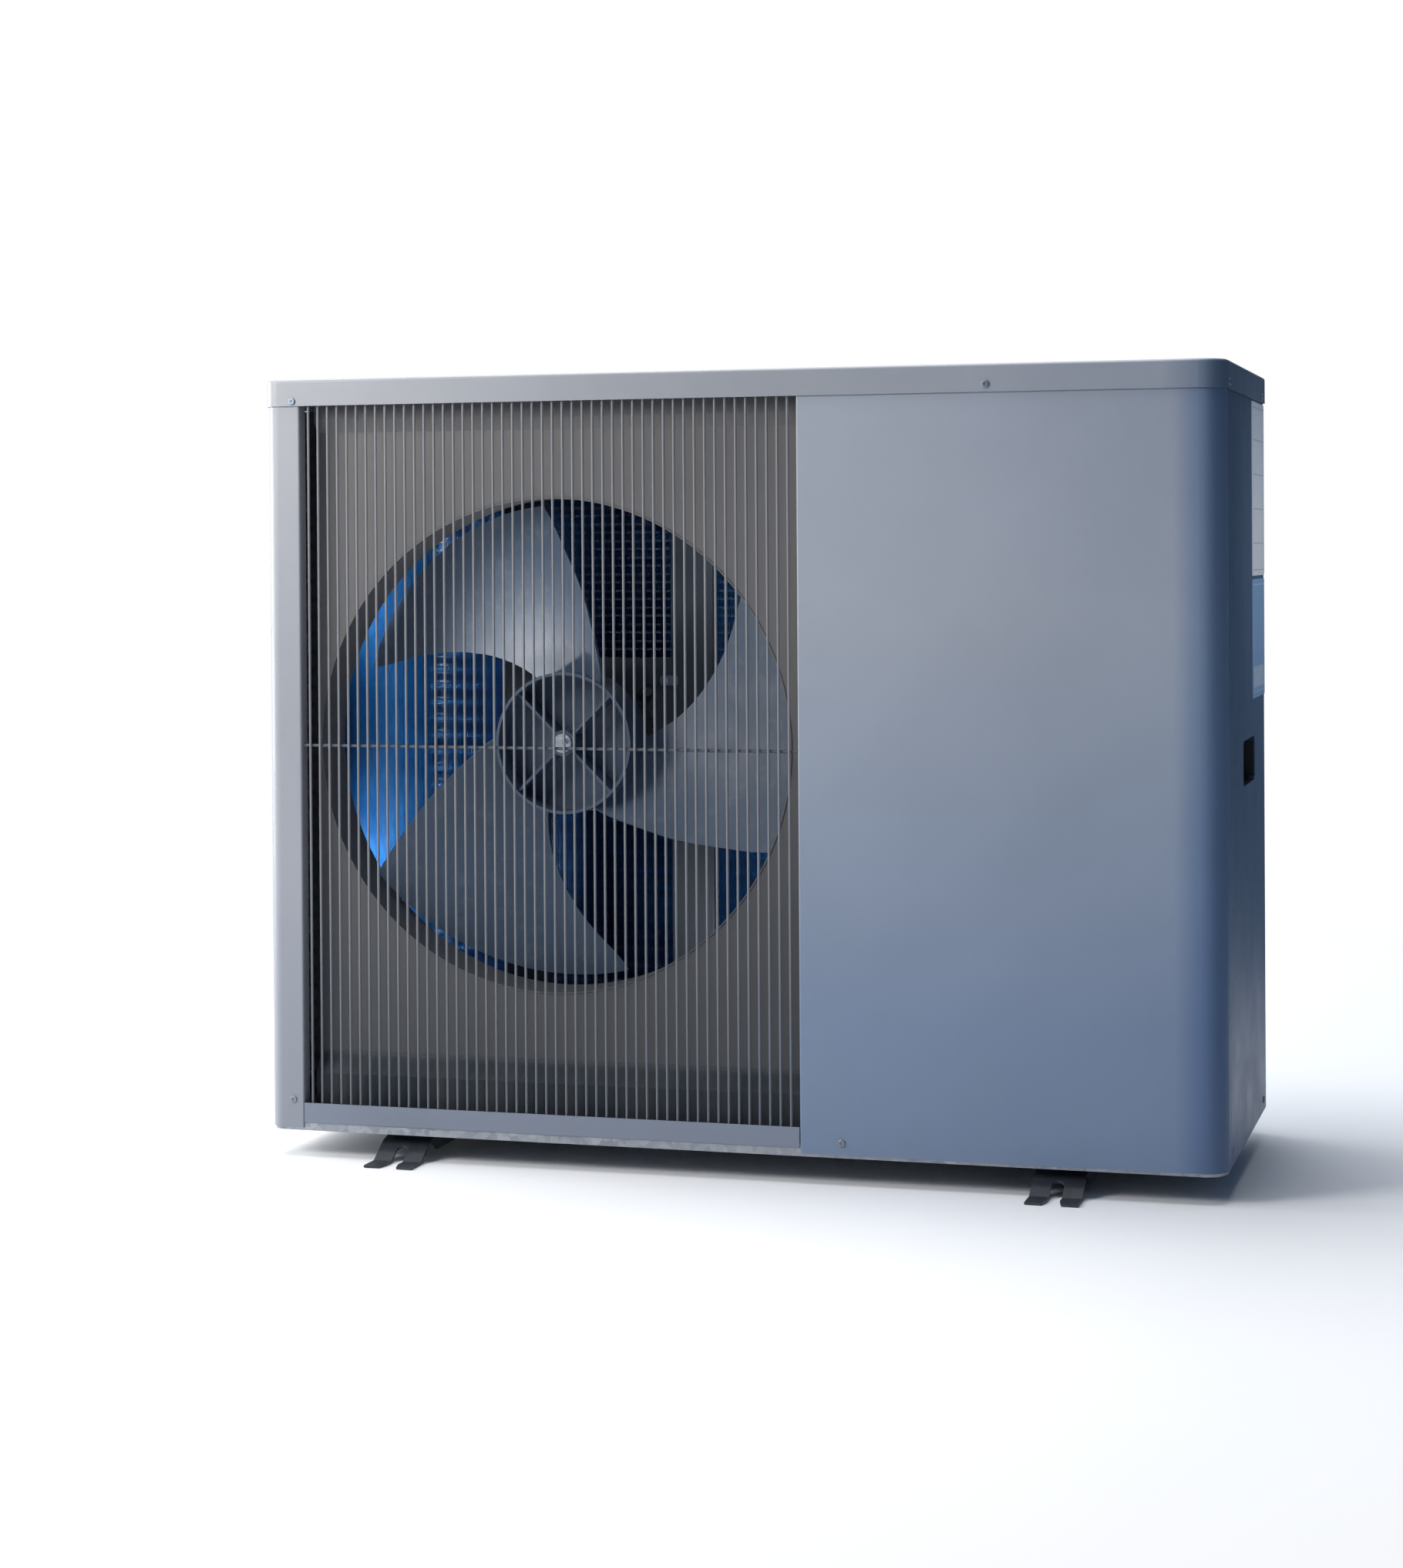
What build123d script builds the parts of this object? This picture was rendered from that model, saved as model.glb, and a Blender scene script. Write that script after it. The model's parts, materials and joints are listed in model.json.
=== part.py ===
from build123d import *
import os
from math import sin, cos, radians, pi

os.makedirs("parts", exist_ok=True)

# ------------------------------------------------------------------
# Air-source heat pump unit, front discharge fan on the left, service
# compartment on the right.  Origin: on the ground, under the middle of
# the unit.  +X to the right seen from the front, +Y into the unit,
# +Z up.  Millimetres.
# ------------------------------------------------------------------

# casing
BODY_W = 1110.0            # width over the side panels
BODY_D = 418.0             # depth over front and rear panels
FOOT_H = 32.0              # ground to the underside of the casing
BODY_H = 873.0             # casing height, pan to lid top
T = 1.2                    # sheet thickness
XL, XR = -BODY_W / 2, BODY_W / 2
YF, YR = -BODY_D / 2, BODY_D / 2
ZB = FOOT_H
ZT = FOOT_H + BODY_H       # 905
PANEL_Z0 = ZB + 1.5        # lower edge of the casing panels
PANEL_Z1 = ZT - 7.0        # upper edge of the panels, inside the lid
LIP = 31.0                 # lid lip height
OVER = 2.5                 # lid overhang
R_LEFT = 16.0              # left corner radius
R_RIGHT = 27.0             # front right corner radius
R_REAR = 10.0              # rear right corner radius
SPLIT_X = 84.6             # left edge of the service panel
POST_X = -512.0            # inner edge of the left post
RAIL_Z0, RAIL_Z1 = ZB + 7.0, ZB + 31.0

# fan
FAN_X, FAN_Z = -218.0, 480.0
ORIFICE_R = 284.0
TIP_R = 277.0
HUB_R = 82.5
PANEL_Y = YF + 40.0        # front face of the orifice panel
SHAFT_R = 5.0

# evaporator
COIL_T = 36.0
COIL_Z0, COIL_Z1 = 40.0, 868.0
COIL_YO = 196.0            # outer (rear) face
COIL_XO = -551.0           # outer (left) face
COIL_R = 86.0              # outer radius of the bend
COIL_X1 = 86.0             # right end of the back leg
COIL_Y1 = -114.0           # front end of the side leg
TUBE_PITCH = 21.0
TUBE_N = 39
TUBE_R = 3.5
CX, CY = COIL_XO + COIL_R, COIL_YO - COIL_R

# feet
FOOT_W = 58.0
FOOT_REACH = 42.0          # tab in front of and behind the casing
FOOT_LX, FOOT_RX = -391.0, 372.0
FOOT_T = 2.5
NOTCH_W = 14.0
FOOT_BOLT_Y = 141.0

# water side
UNION_X = 440.0
UNION_ZS = (150.0, 520.0)
SOCKET_R = 25.1            # for 50 mm pipe
UNION_END = YR + FOOT_REACH

# cable glands and drain
GLAND_XS, GLAND_Z, GLAND_BORE = (190.0, 240.0), 250.0, 6.5
DRAIN = (-218.0, 70.0)


def front_plane(y):
    """Plane facing the front (-Y) at depth y: local x = X, local y = Z."""
    return Plane(origin=(0, y, 0), x_dir=(1, 0, 0), z_dir=(0, -1, 0))


def strip(points, radii, plane, t=T):
    """Bent sheet section: centre line through points, thickness t."""
    with BuildSketch(plane) as s:
        with BuildLine():
            if len(points) == 2:
                Line(*points)
            else:
                FilletPolyline(*points, radius=radii)
        trace(line_width=t)
    return s.sketch


def tube_solid(points, radii, r):
    """Round bar bent along straight runs and arcs."""
    with BuildPart() as p:
        with BuildLine() as path:
            if len(points) == 2:
                Line(*points)
            else:
                FilletPolyline(*points, radius=radii)
        with BuildSketch(path.line ^ 0):
            Circle(r)
        sweep()
    return p.part


def y_cyl(x, z, r, y0, y1):
    """Cylinder along Y from y0 to y1."""
    return Solid.make_cylinder(r, y1 - y0, Plane(origin=(x, y0, z), x_dir=(1, 0, 0), z_dir=(0, 1, 0)))


def x_cyl(y, z, r, x0, x1):
    return Solid.make_cylinder(r, x1 - x0, Plane(origin=(x0, y, z), x_dir=(0, 1, 0), z_dir=(1, 0, 0)))


def z_cyl(x, y, r, z0, z1):
    return Solid.make_cylinder(r, z1 - z0, Plane(origin=(x, y, z0), x_dir=(1, 0, 0), z_dir=(0, 0, 1)))


def block(x0, x1, y0, y1, z0, z1):
    return Solid.make_box(x1 - x0, y1 - y0, z1 - z0, Plane(origin=(x0, y0, z0)))


# screws of the casing: (point on the outer surface, outward direction)
LIP_Z = ZT - 24.0
front_lip_screws = [(-520.0, ZB + 847.5), (298.0, ZB + 850.6)]
rear_lip_screws = [(-500.0, LIP_Z), (300.0, LIP_Z)]
side_lip_ys = [YF + 32.0, YR - 40.0]
POST_SCREW = (-525.0, ZB + 34.0)
SERVICE_SCREW = (132.0, ZB + 15.0)
REAR_SCREWS = [(110.0, ZB + 15.0), (515.0, ZB + 15.0), (110.0, 820.0), (515.0, 820.0)]
SIDE_SCREWS = [(-150.0, ZB + 15.0), (170.0, ZB + 15.0)]
SCREW_R, HOLE_R = 2.0, 2.4

front_holes = [y_cyl(x, z, HOLE_R, YF - 5, YF + 6) for x, z in front_lip_screws + [POST_SCREW, SERVICE_SCREW]]
rear_holes = [y_cyl(x, z, HOLE_R, YR - 6, YR + 5) for x, z in rear_lip_screws + REAR_SCREWS]
side_holes = [x_cyl(y, LIP_Z, HOLE_R, XR - 6, XR + 5) for y in side_lip_ys]
side_holes += [x_cyl(y, LIP_Z, HOLE_R, XL - 5, XL + 6) for y in [YF + 32.0]]
side_holes += [x_cyl(y, z, HOLE_R, XR - 6, XR + 5) for y, z in SIDE_SCREWS]

# ------------------------------------------------------------------ base
FOOT_BOLTS = [(x, y) for x in (FOOT_LX, FOOT_RX) for y in (-FOOT_BOLT_Y, FOOT_BOLT_Y)]
COMP = (250.0, -60.0)
COMP_FEET = [(COMP[0] + 82 * cos(radians(a)), COMP[1] + 82 * sin(radians(a))) for a in (30, 150, 270)]

with BuildPart() as base_pan:
    with BuildSketch(Plane.XY.offset(ZB - 2)):
        with BuildLine():
            FilletPolyline(
                (XL + 2, YF + 2), (XR - 2, YF + 2), (XR - 2, YR - 2), (XL + 2, YR - 2),
                radius=[R_LEFT - 2, R_RIGHT - 2, R_REAR - 2, R_LEFT - 2], close=True)
        make_face()
    extrude(amount=14)
    offset(amount=-T, openings=base_pan.faces().sort_by(Axis.Z)[-1])
    # raised beads pressed into the floor
    with BuildSketch(Plane.XY.offset(ZB - 2 + T)):
        with Locations((-218, -120), (-218, 0), (-218, 120)):
            SlotOverall(440, 18)
    extrude(amount=3)
    with Locations(*[(x, y, ZB) for x, y in FOOT_BOLTS]):
        Cylinder(4.5, 30, mode=Mode.SUBTRACT)
    with Locations((DRAIN[0], DRAIN[1], ZB)):
        Cylinder(10.5, 30, mode=Mode.SUBTRACT)
    add(front_holes + rear_holes + side_holes, mode=Mode.SUBTRACT)
base_pan.part.label = "base_pan"
export_step(base_pan.part, "parts/base_pan.step")

FLOOR = ZB - 2 + T         # upper face of the pan floor


def foot_rail(x):
    """Pressed steel rail: raised under the pan, sloping to a notched ground tab at each end."""
    end = -YF + FOOT_REACH
    top = ZB - 2
    path = [(-end, FOOT_T / 2), (-end + 30, FOOT_T / 2), (-190, top - FOOT_T / 2 - 9),
            (-150, top - FOOT_T / 2), (150, top - FOOT_T / 2), (190, top - FOOT_T / 2 - 9),
            (end - 30, FOOT_T / 2), (end, FOOT_T / 2)]
    with BuildPart() as rail:
        extrude(strip(path, 4.0, Plane.YZ.offset(x - FOOT_W / 2), FOOT_T), amount=FOOT_W, dir=(1, 0, 0))
        # stiffening flanges under the raised stretch
        for sx in (x - FOOT_W / 2, x + FOOT_W / 2 - FOOT_T):
            with BuildSketch(Plane.YZ.offset(sx)):
                with BuildLine():
                    Polyline((-186, top - 9.5), (-150, top - 0.4), (150, top - 0.4), (186, top - 9.5),
                             (168, top - 22), (-168, top - 22), close=True)
                make_face()
            extrude(amount=FOOT_T)
        # notch, open to the end, wider at its mouth
        for s in (-1, 1):
            with BuildSketch(Plane.XY.offset(-1)):
                with BuildLine():
                    Polyline((x - NOTCH_W / 2 - 4, s * (end + 1)), (x - NOTCH_W / 2, s * (end - 16)),
                             (x - NOTCH_W / 2, s * (end - 46)), (x + NOTCH_W / 2, s * (end - 46)),
                             (x + NOTCH_W / 2, s * (end - 16)), (x + NOTCH_W / 2 + 4, s * (end + 1)), close=True)
                make_face()
                with Locations((x, s * (end - 46))):
                    Circle(NOTCH_W / 2)
            extrude(amount=26, mode=Mode.SUBTRACT)
        with Locations((x, -FOOT_BOLT_Y, top), (x, FOOT_BOLT_Y, top)):
            Cylinder(4.5, 20, mode=Mode.SUBTRACT)
    return rail.part


foot_left = foot_rail(FOOT_LX)
foot_left.label = "foot_rail_left"
export_step(foot_left, "parts/foot_rail_left.step")
foot_right = foot_rail(FOOT_RX)
foot_right.label = "foot_rail_right"
export_step(foot_right, "parts/foot_rail_right.step")

with BuildPart() as foot_bolts:
    for x, y in FOOT_BOLTS:
        with BuildSketch(Plane.XY.offset(FLOOR)):
            with Locations((x, y)):
                RegularPolygon(6.5, 6)
        extrude(amount=5.3)
        with BuildSketch(Plane.XY.offset(FLOOR - 14)):
            with Locations((x, y)):
                Circle(4)
        extrude(amount=14)
        # nut under the rail
        with BuildSketch(Plane.XY.offset(ZB - 2 - FOOT_T - 6.6)):
            with Locations((x, y)):
                RegularPolygon(6.5, 6)
        extrude(amount=6.5)
foot_bolts.part.label = "foot_bolts"
export_step(foot_bolts.part, "parts/foot_bolts.step")

# ------------------------------------------------------------------ lid
with BuildPart() as top_cover:
    with BuildSketch(Plane.XY.offset(ZT - LIP)):
        with BuildLine():
            FilletPolyline(
                (XL - OVER, YF - OVER), (XR + OVER, YF - OVER), (XR + OVER, YR + OVER), (XL - OVER, YR + OVER),
                radius=[R_LEFT + OVER, R_RIGHT + OVER, R_REAR + OVER, R_LEFT + OVER], close=True)
        make_face()
    extrude(amount=LIP)
    fillet(top_cover.faces().sort_by(Axis.Z)[-1].edges(), radius=3.5)
    offset(amount=-T, openings=top_cover.faces().sort_by(Axis.Z)[0])
    add(front_holes + rear_holes + side_holes, mode=Mode.SUBTRACT)
top_cover.part.label = "top_cover"
export_step(top_cover.part, "parts/top_cover.step")

# ------------------------------------------------------------------ casing panels
h = T / 2
with BuildPart() as left_corner_post:
    extrude(strip([(POST_X - h, YF + 17), (POST_X - h, YF + h), (XL + h, YF + h), (XL + h, -118)],
                  [1.5, R_LEFT - h], Plane.XY.offset(PANEL_Z0)), amount=PANEL_Z1 - PANEL_Z0, dir=(0, 0, 1))
    # notch over the pan flange
    add(block(POST_X - 4, POST_X + 4, YF + 1.6, YF + 20, PANEL_Z0 - 1, ZB + 14), mode=Mode.SUBTRACT)
    add(front_holes + side_holes, mode=Mode.SUBTRACT)
left_corner_post.part.label = "left_corner_post"
export_step(left_corner_post.part, "parts/left_corner_post.step")

with BuildPart() as rear_left_post:
    extrude(strip([(XL + h, 150), (XL + h, YR - h), (-498, YR - h)],
                  [R_LEFT - h], Plane.XY.offset(PANEL_Z0)), amount=PANEL_Z1 - PANEL_Z0, dir=(0, 0, 1))
    add(rear_holes, mode=Mode.SUBTRACT)
rear_left_post.part.label = "rear_left_post"
export_step(rear_left_post.part, "parts/rear_left_post.step")

with BuildPart() as bottom_front_rail:
    extrude(strip([(YF + 1.9, RAIL_Z0 + h), (YF + h, RAIL_Z0 + h), (YF + h, RAIL_Z1 - h)],
                  [0.62], Plane.YZ.offset(POST_X + 0.6)), amount=SPLIT_X - POST_X - 1.2, dir=(1, 0, 0))
bottom_front_rail.part.label = "bottom_front_rail"
export_step(bottom_front_rail.part, "parts/bottom_front_rail.step")

with BuildPart() as front_service_panel:
    extrude(strip([(SPLIT_X + h, YF + 17), (SPLIT_X + h, YF + h), (XR - h, YF + h), (XR - h, YF + 36)],
                  [1.5, R_RIGHT - h], Plane.XY.offset(PANEL_Z0)), amount=PANEL_Z1 - PANEL_Z0, dir=(0, 0, 1))
    add(block(SPLIT_X - 4, SPLIT_X + 4, YF + 1.6, YF + 20, PANEL_Z0 - 1, ZB + 14), mode=Mode.SUBTRACT)
    add(front_holes + side_holes, mode=Mode.SUBTRACT)
front_service_panel.part.label = "front_service_panel"
export_step(front_service_panel.part, "parts/front_service_panel.step")

# recessed hand hold in the right side
HAND_Y0, HAND_Y1 = YF + 176.0, YF + 300.0
HAND_Z0, HAND_Z1 = ZB + 402.0, ZB + 453.0
HAND_DEEP = 28.0
with BuildPart() as right_side_panel:
    extrude(strip([(XR - h, YF + 37.2), (XR - h, YR - h), (XR - 19, YR - h)],
                  [R_REAR - h], Plane.XY.offset(PANEL_Z0)), amount=PANEL_Z1 - PANEL_Z0, dir=(0, 0, 1))
    with BuildSketch(Plane.YZ.offset(XR - 5)):
        with Locations(((HAND_Y0 + HAND_Y1) / 2, (HAND_Z0 + HAND_Z1) / 2)):
            RectangleRounded(HAND_Y1 - HAND_Y0, HAND_Z1 - HAND_Z0, 8)
    extrude(amount=10, mode=Mode.SUBTRACT)
    add(side_holes, mode=Mode.SUBTRACT)
right_side_panel.part.label = "right_side_panel"
export_step(right_side_panel.part, "parts/right_side_panel.step")

with BuildPart() as hand_hold:
    with BuildSketch(Plane.YZ.offset(XR - T - 2.6)):
        with Locations(((HAND_Y0 + HAND_Y1) / 2, (HAND_Z0 + HAND_Z1) / 2)):
            RectangleRounded(HAND_Y1 - HAND_Y0 + 20, HAND_Z1 - HAND_Z0 + 20, 10)
    extrude(amount=2.5)
    with BuildSketch(Plane.YZ.offset(XR - T - 0.1 - HAND_DEEP)):
        with Locations(((HAND_Y0 + HAND_Y1) / 2, (HAND_Z0 + HAND_Z1) / 2)):
            RectangleRounded(HAND_Y1 - HAND_Y0 + 4, HAND_Z1 - HAND_Z0 + 4, 9)
    extrude(amount=HAND_DEEP)
    with BuildSketch(Plane.YZ.offset(XR - T - 0.1 - HAND_DEEP + 2.2)):
        with Locations(((HAND_Y0 + HAND_Y1) / 2, (HAND_Z0 + HAND_Z1) / 2)):
            RectangleRounded(HAND_Y1 - HAND_Y0 - 0.4, HAND_Z1 - HAND_Z0 - 0.4, 7)
    extrude(amount=HAND_DEEP + 5, mode=Mode.SUBTRACT)
hand_hold.part.label = "hand_hold"
export_step(hand_hold.part, "parts/hand_hold.step")

with BuildPart() as rear_panel:
    extrude(strip([(XR - 20.5, YR - h), (93.5, YR - h), (93.5, YR - 13)],
                  [1.5], Plane.XY.offset(PANEL_Z0)), amount=PANEL_Z1 - PANEL_Z0, dir=(0, 0, 1))
    add(block(88, 98, YR - 20, YR - 1.6, PANEL_Z0 - 1, ZB + 14), mode=Mode.SUBTRACT)
    add([y_cyl(UNION_X, z, 37.5, YR - 5, YR + 5) for z in UNION_ZS], mode=Mode.SUBTRACT)
    add([y_cyl(x, GLAND_Z, 10.3, YR - 5, YR + 5) for x in GLAND_XS], mode=Mode.SUBTRACT)
    # louvre slots that vent the service compartment
    with BuildSketch(front_plane(YR + 3)):
        with Locations(*[(200, 700 + 14 * i) for i in range(6)]):
            SlotOverall(90, 5)
    extrude(amount=8, mode=Mode.SUBTRACT)
    add(rear_holes, mode=Mode.SUBTRACT)
rear_panel.part.label = "rear_panel"
export_step(rear_panel.part, "parts/rear_panel.step")

with BuildPart() as partition_panel:
    extrude(strip([(118, -186), (106, -186), (106, 200)],
                  [3], Plane.XY.offset(FLOOR + 0.1)), amount=ZT - 10 - FLOOR, dir=(0, 0, 1))
partition_panel.part.label = "partition_panel"
export_step(partition_panel.part, "parts/partition_panel.step")

# ------------------------------------------------------------------ fan orifice
pz0, pz1 = ZB + 84.0, ZB + 812.0
with BuildPart() as fan_orifice_panel:
    y0 = PANEL_Y + h
    extrude(strip([(y0 - 15, FLOOR + 3.6), (y0 - 15, pz0 - 22), (y0, pz0), (y0, pz1), (y0 - 9, pz1 + 14), (y0 - 9, ZT - 6)],
                  [5, 3, 3, 3], Plane.YZ.offset(-506.6)), amount=506.6 + 104, dir=(1, 0, 0))
    # returned left edge
    with BuildSketch(Plane.XY.offset(pz0)):
        with Locations((-506.6 + h, PANEL_Y + 9)):
            Rectangle(T, 18)
    extrude(amount=pz1 - pz0)
    add(y_cyl(FAN_X, FAN_Z, ORIFICE_R + 2.2, PANEL_Y - 30, PANEL_Y + 30), mode=Mode.SUBTRACT)
fan_orifice_panel.part.label = "fan_orifice_panel"
export_step(fan_orifice_panel.part, "parts/fan_orifice_panel.step")

with BuildPart() as fan_shroud_ring:
    # bell mouth: rolled front lip, straight throat, flared inlet
    with BuildSketch(Plane(origin=(FAN_X, 0, FAN_Z), x_dir=(1, 0, 0), z_dir=(0, 0, 1))):
        with BuildLine():
            Polyline((ORIFICE_R, PANEL_Y - 1.0), (ORIFICE_R, PANEL_Y + 64), (ORIFICE_R + 2.5, PANEL_Y + 71.5),
                     (ORIFICE_R + 8, PANEL_Y + 76), (ORIFICE_R + 9.2, PANEL_Y + 74.6), (ORIFICE_R + 4, PANEL_Y + 70.3),
                     (ORIFICE_R + 1.8, PANEL_Y + 63.6), (ORIFICE_R + 1.8, PANEL_Y + 3.2), (ORIFICE_R + 14, PANEL_Y + 3.2),
                     (ORIFICE_R + 14, PANEL_Y + T + 0.2), (ORIFICE_R + 1.8, PANEL_Y + T + 0.2),
                     (ORIFICE_R + 1.8, PANEL_Y - 1.0), close=True)
        make_face()
    revolve(axis=Axis((FAN_X, 0, FAN_Z), (0, 1, 0)), revolution_arc=360)
    # flange trimmed beside the panel's left return
    add(block(-520, -505.3, PANEL_Y + T, PANEL_Y + 3.6, 0, 1000), mode=Mode.SUBTRACT)
fan_shroud_ring.part.label = "fan_shroud_ring"
export_step(fan_shroud_ring.part, "parts/fan_shroud_ring.step")

# ------------------------------------------------------------------ front grille
ROD_N, ROD_PITCH, ROD_R = 49, 12.0, 1.5
ROD_X0 = -502.0
ROD_Y = YF + 3.6
GR_Z0, GR_Z1 = ZB + 14.0, ZT - 9.0
WIRE_R = 1.8
WIRE_Y = ROD_Y + ROD_R + WIRE_R + 0.02
WIRE_ZS = (ZB + 20.0, ZB + 447.0, ZT - 18.0)
with BuildPart() as front_grille:
    add([z_cyl(ROD_X0 + ROD_PITCH * i, ROD_Y, ROD_R, GR_Z0, GR_Z1) for i in range(ROD_N)])
    add([x_cyl(WIRE_Y, z, WIRE_R, -510.5, 83.0) for z in WIRE_ZS])
front_grille.part.label = "front_grille"
export_step(front_grille.part, "parts/front_grille.step")

# ------------------------------------------------------------------ coil guards
with BuildPart() as rear_coil_guard:
    add([z_cyl(-496 + 24.0 * i, YR - 5.2, 1.3, 46, ZT - 14) for i in range(25)])
    add([x_cyl(YR - 5.2 - 2.5, z, 1.6, -500, 84) for z in (60, 215, 370, 525, 680, 835, ZT - 24)])
rear_coil_guard.part.label = "rear_coil_guard"
export_step(rear_coil_guard.part, "parts/rear_coil_guard.step")

with BuildPart() as side_coil_guard:
    add([z_cyl(XL + 1.6, -104 + 24.0 * i, 1.2, 60, ZT - 34) for i in range(11)])
    add([y_cyl(XL + 2.5, z, 1.2, -112, 146) for z in (66, 215, 370, 525, 680, 835)])
side_coil_guard.part.label = "side_coil_guard"
export_step(side_coil_guard.part, "parts/side_coil_guard.step")

# ------------------------------------------------------------------ blank labels on the right side
with BuildPart() as rating_plate:
    with BuildSketch(Plane.YZ.offset(XR + 0.02)):
        with Locations((YF + 345.0, ZB + 739.0)):
            RectangleRounded(134, 202, 4)
    extrude(amount=0.6)
rating_plate.part.label = "rating_plate"
export_step(rating_plate.part, "parts/rating_plate.step")

with BuildPart() as info_label:
    with BuildSketch(Plane.YZ.offset(XR + 0.02)):
        with Locations((YF + 345.0, ZB + 565.0)):
            RectangleRounded(134, 138, 3)
    extrude(amount=0.4)
info_label.part.label = "info_label"
export_step(info_label.part, "parts/info_label.step")

# ------------------------------------------------------------------ casing screws


def screw(x, y, z, direction, shank):
    """Pan head screw; (x, y, z) lies on the face under the head, direction points outwards."""
    pl = Plane(origin=(x, y, z), x_dir=(0, 0, 1), z_dir=direction)
    with BuildPart() as s:
        with BuildSketch(pl):
            Circle(4.4)
        extrude(amount=1.7)
        fillet(s.edges().filter_by(GeomType.CIRCLE).sort_by(lambda e: (e.center() - Vector(x, y, z)).length)[-1], radius=1.2)
        with BuildSketch(pl):
            Circle(SCREW_R)
        extrude(amount=-shank)
        # cross recess
        with BuildSketch(pl.offset(0.9)):
            Rectangle(4.4, 0.9)
            Rectangle(0.9, 4.4)
        extrude(amount=2, mode=Mode.SUBTRACT)
    return s.part


screw_list = []
for x, z in front_lip_screws:
    screw_list.append(screw(x, YF - OVER, z, (0, -1, 0), 6))
for x, z in rear_lip_screws:
    screw_list.append(screw(x, YR + OVER, z, (0, 1, 0), 6))
for y in side_lip_ys:
    screw_list.append(screw(XR + OVER, y, LIP_Z, (1, 0, 0), 6))
screw_list.append(screw(XL - OVER, YF + 32.0, LIP_Z, (-1, 0, 0), 6))
for x, z in (POST_SCREW, SERVICE_SCREW):
    screw_list.append(screw(x, YF, z, (0, -1, 0), 5))
for x, z in REAR_SCREWS:
    screw_list.append(screw(x, YR, z, (0, 1, 0), 5))
for y, z in SIDE_SCREWS:
    screw_list.append(screw(XR, y, z, (1, 0, 0), 5))
with BuildPart() as casing_screws:
    add(screw_list)
casing_screws.part.label = "casing_screws"
export_step(casing_screws.part, "parts/casing_screws.step")

# ------------------------------------------------------------------ fan
BLADE_RS = (80.6, 100.0, 120.0, 150.0, 180.0, 210.0, 240.0, 262.0, TIP_R)
BLADE_LEAD = (3.0, 7.0, 11.5, 18.2, 24.8, 31.0, 37.0, 40.6, 42.0)
BLADE_TRAIL = (-65.0, -57.0, -50.0, -43.0, -38.0, -33.4, -29.8, -27.6, -26.0)
HUB_Y0, HUB_Y1 = YF + 80.0, YF + 142.0


def blade_point(i, t, turn):
    """Point of the blade's middle surface: i along the radius, t from leading to trailing edge."""
    r = BLADE_RS[i]
    f = (r - BLADE_RS[0]) / (TIP_R - BLADE_RS[0])
    th = radians(BLADE_LEAD[i] + (BLADE_TRAIL[i] - BLADE_LEAD[i]) * t + turn)
    y_lead = YF + 138.0 + 9.0 * f
    y_trail = YF + 85.0 - 10.0 * f
    s = 0.72 * t + 0.28 * t * t
    y = y_lead + (y_trail - y_lead) * s + 3.0 * sin(pi * t) * (0.4 + f)
    return Vector(FAN_X + r * cos(th), y, FAN_Z + r * sin(th))


blades = []
for turn in (0, 120, 240):
    grid = [[blade_point(i, t / 10, turn) for t in range(11)] for i in range(len(BLADE_RS))]
    face = Face.make_surface_from_array_of_points(grid, tol=0.05, min_deg=3, max_deg=5)
    blades.append(Solid.thicken(face, 1.4) + Solid.thicken(face, -1.4))

with BuildPart() as fan_impeller:
    # hub: outer ring, web, centre boss and four diagonal ribs
    with BuildSketch(front_plane(HUB_Y1)):
        with Locations((FAN_X, FAN_Z)):
            Circle(HUB_R)
            Circle(HUB_R - 3.2, mode=Mode.SUBTRACT)
            Circle(15)
    extrude(amount=HUB_Y1 - HUB_Y0)
    with BuildSketch(front_plane(HUB_Y1 - 20)):
        with Locations((FAN_X, FAN_Z)):
            Circle(HUB_R - 1)
    extrude(amount=3)
    with BuildSketch(front_plane(HUB_Y1 - 20)):
        with Locations((FAN_X, FAN_Z)):
            with PolarLocations(HUB_R / 2 + 2, 4, start_angle=45):
                Rectangle(HUB_R - 8, 3.0)
    extrude(amount=36)
    add(blades)
    add(y_cyl(FAN_X, FAN_Z, SHAFT_R + 0.02, HUB_Y0 - 5, HUB_Y1 + 5), mode=Mode.SUBTRACT)
    # trim everything to the tip circle
    add(y_cyl(FAN_X, FAN_Z, TIP_R, HUB_Y0 - 20, HUB_Y1 + 30), mode=Mode.INTERSECT)
fan_impeller.part.label = "fan_impeller"
export_step(fan_impeller.part, "parts/fan_impeller.step")

with BuildPart() as motor_shaft:
    add(y_cyl(FAN_X, FAN_Z, SHAFT_R, HUB_Y0 - 0.5, YF + 243))
    add(y_cyl(FAN_X, FAN_Z, 4.0, HUB_Y0 - 12, HUB_Y0 - 0.5))
motor_shaft.part.label = "motor_shaft"
export_step(motor_shaft.part, "parts/motor_shaft.step")

with BuildPart() as fan_nut:
    with BuildSketch(front_plane(HUB_Y0 - 0.6)):
        with Locations((FAN_X, FAN_Z)):
            Circle(11)
            Circle(4.05, mode=Mode.SUBTRACT)
    extrude(amount=1.5)
    with BuildSketch(front_plane(HUB_Y0 - 2.1)):
        with Locations((FAN_X, FAN_Z)):
            RegularPolygon(7.5, 6)
            Circle(4.05, mode=Mode.SUBTRACT)
    extrude(amount=6.5)
fan_nut.part.label = "fan_nut"
export_step(fan_nut.part, "parts/fan_nut.step")

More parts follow.
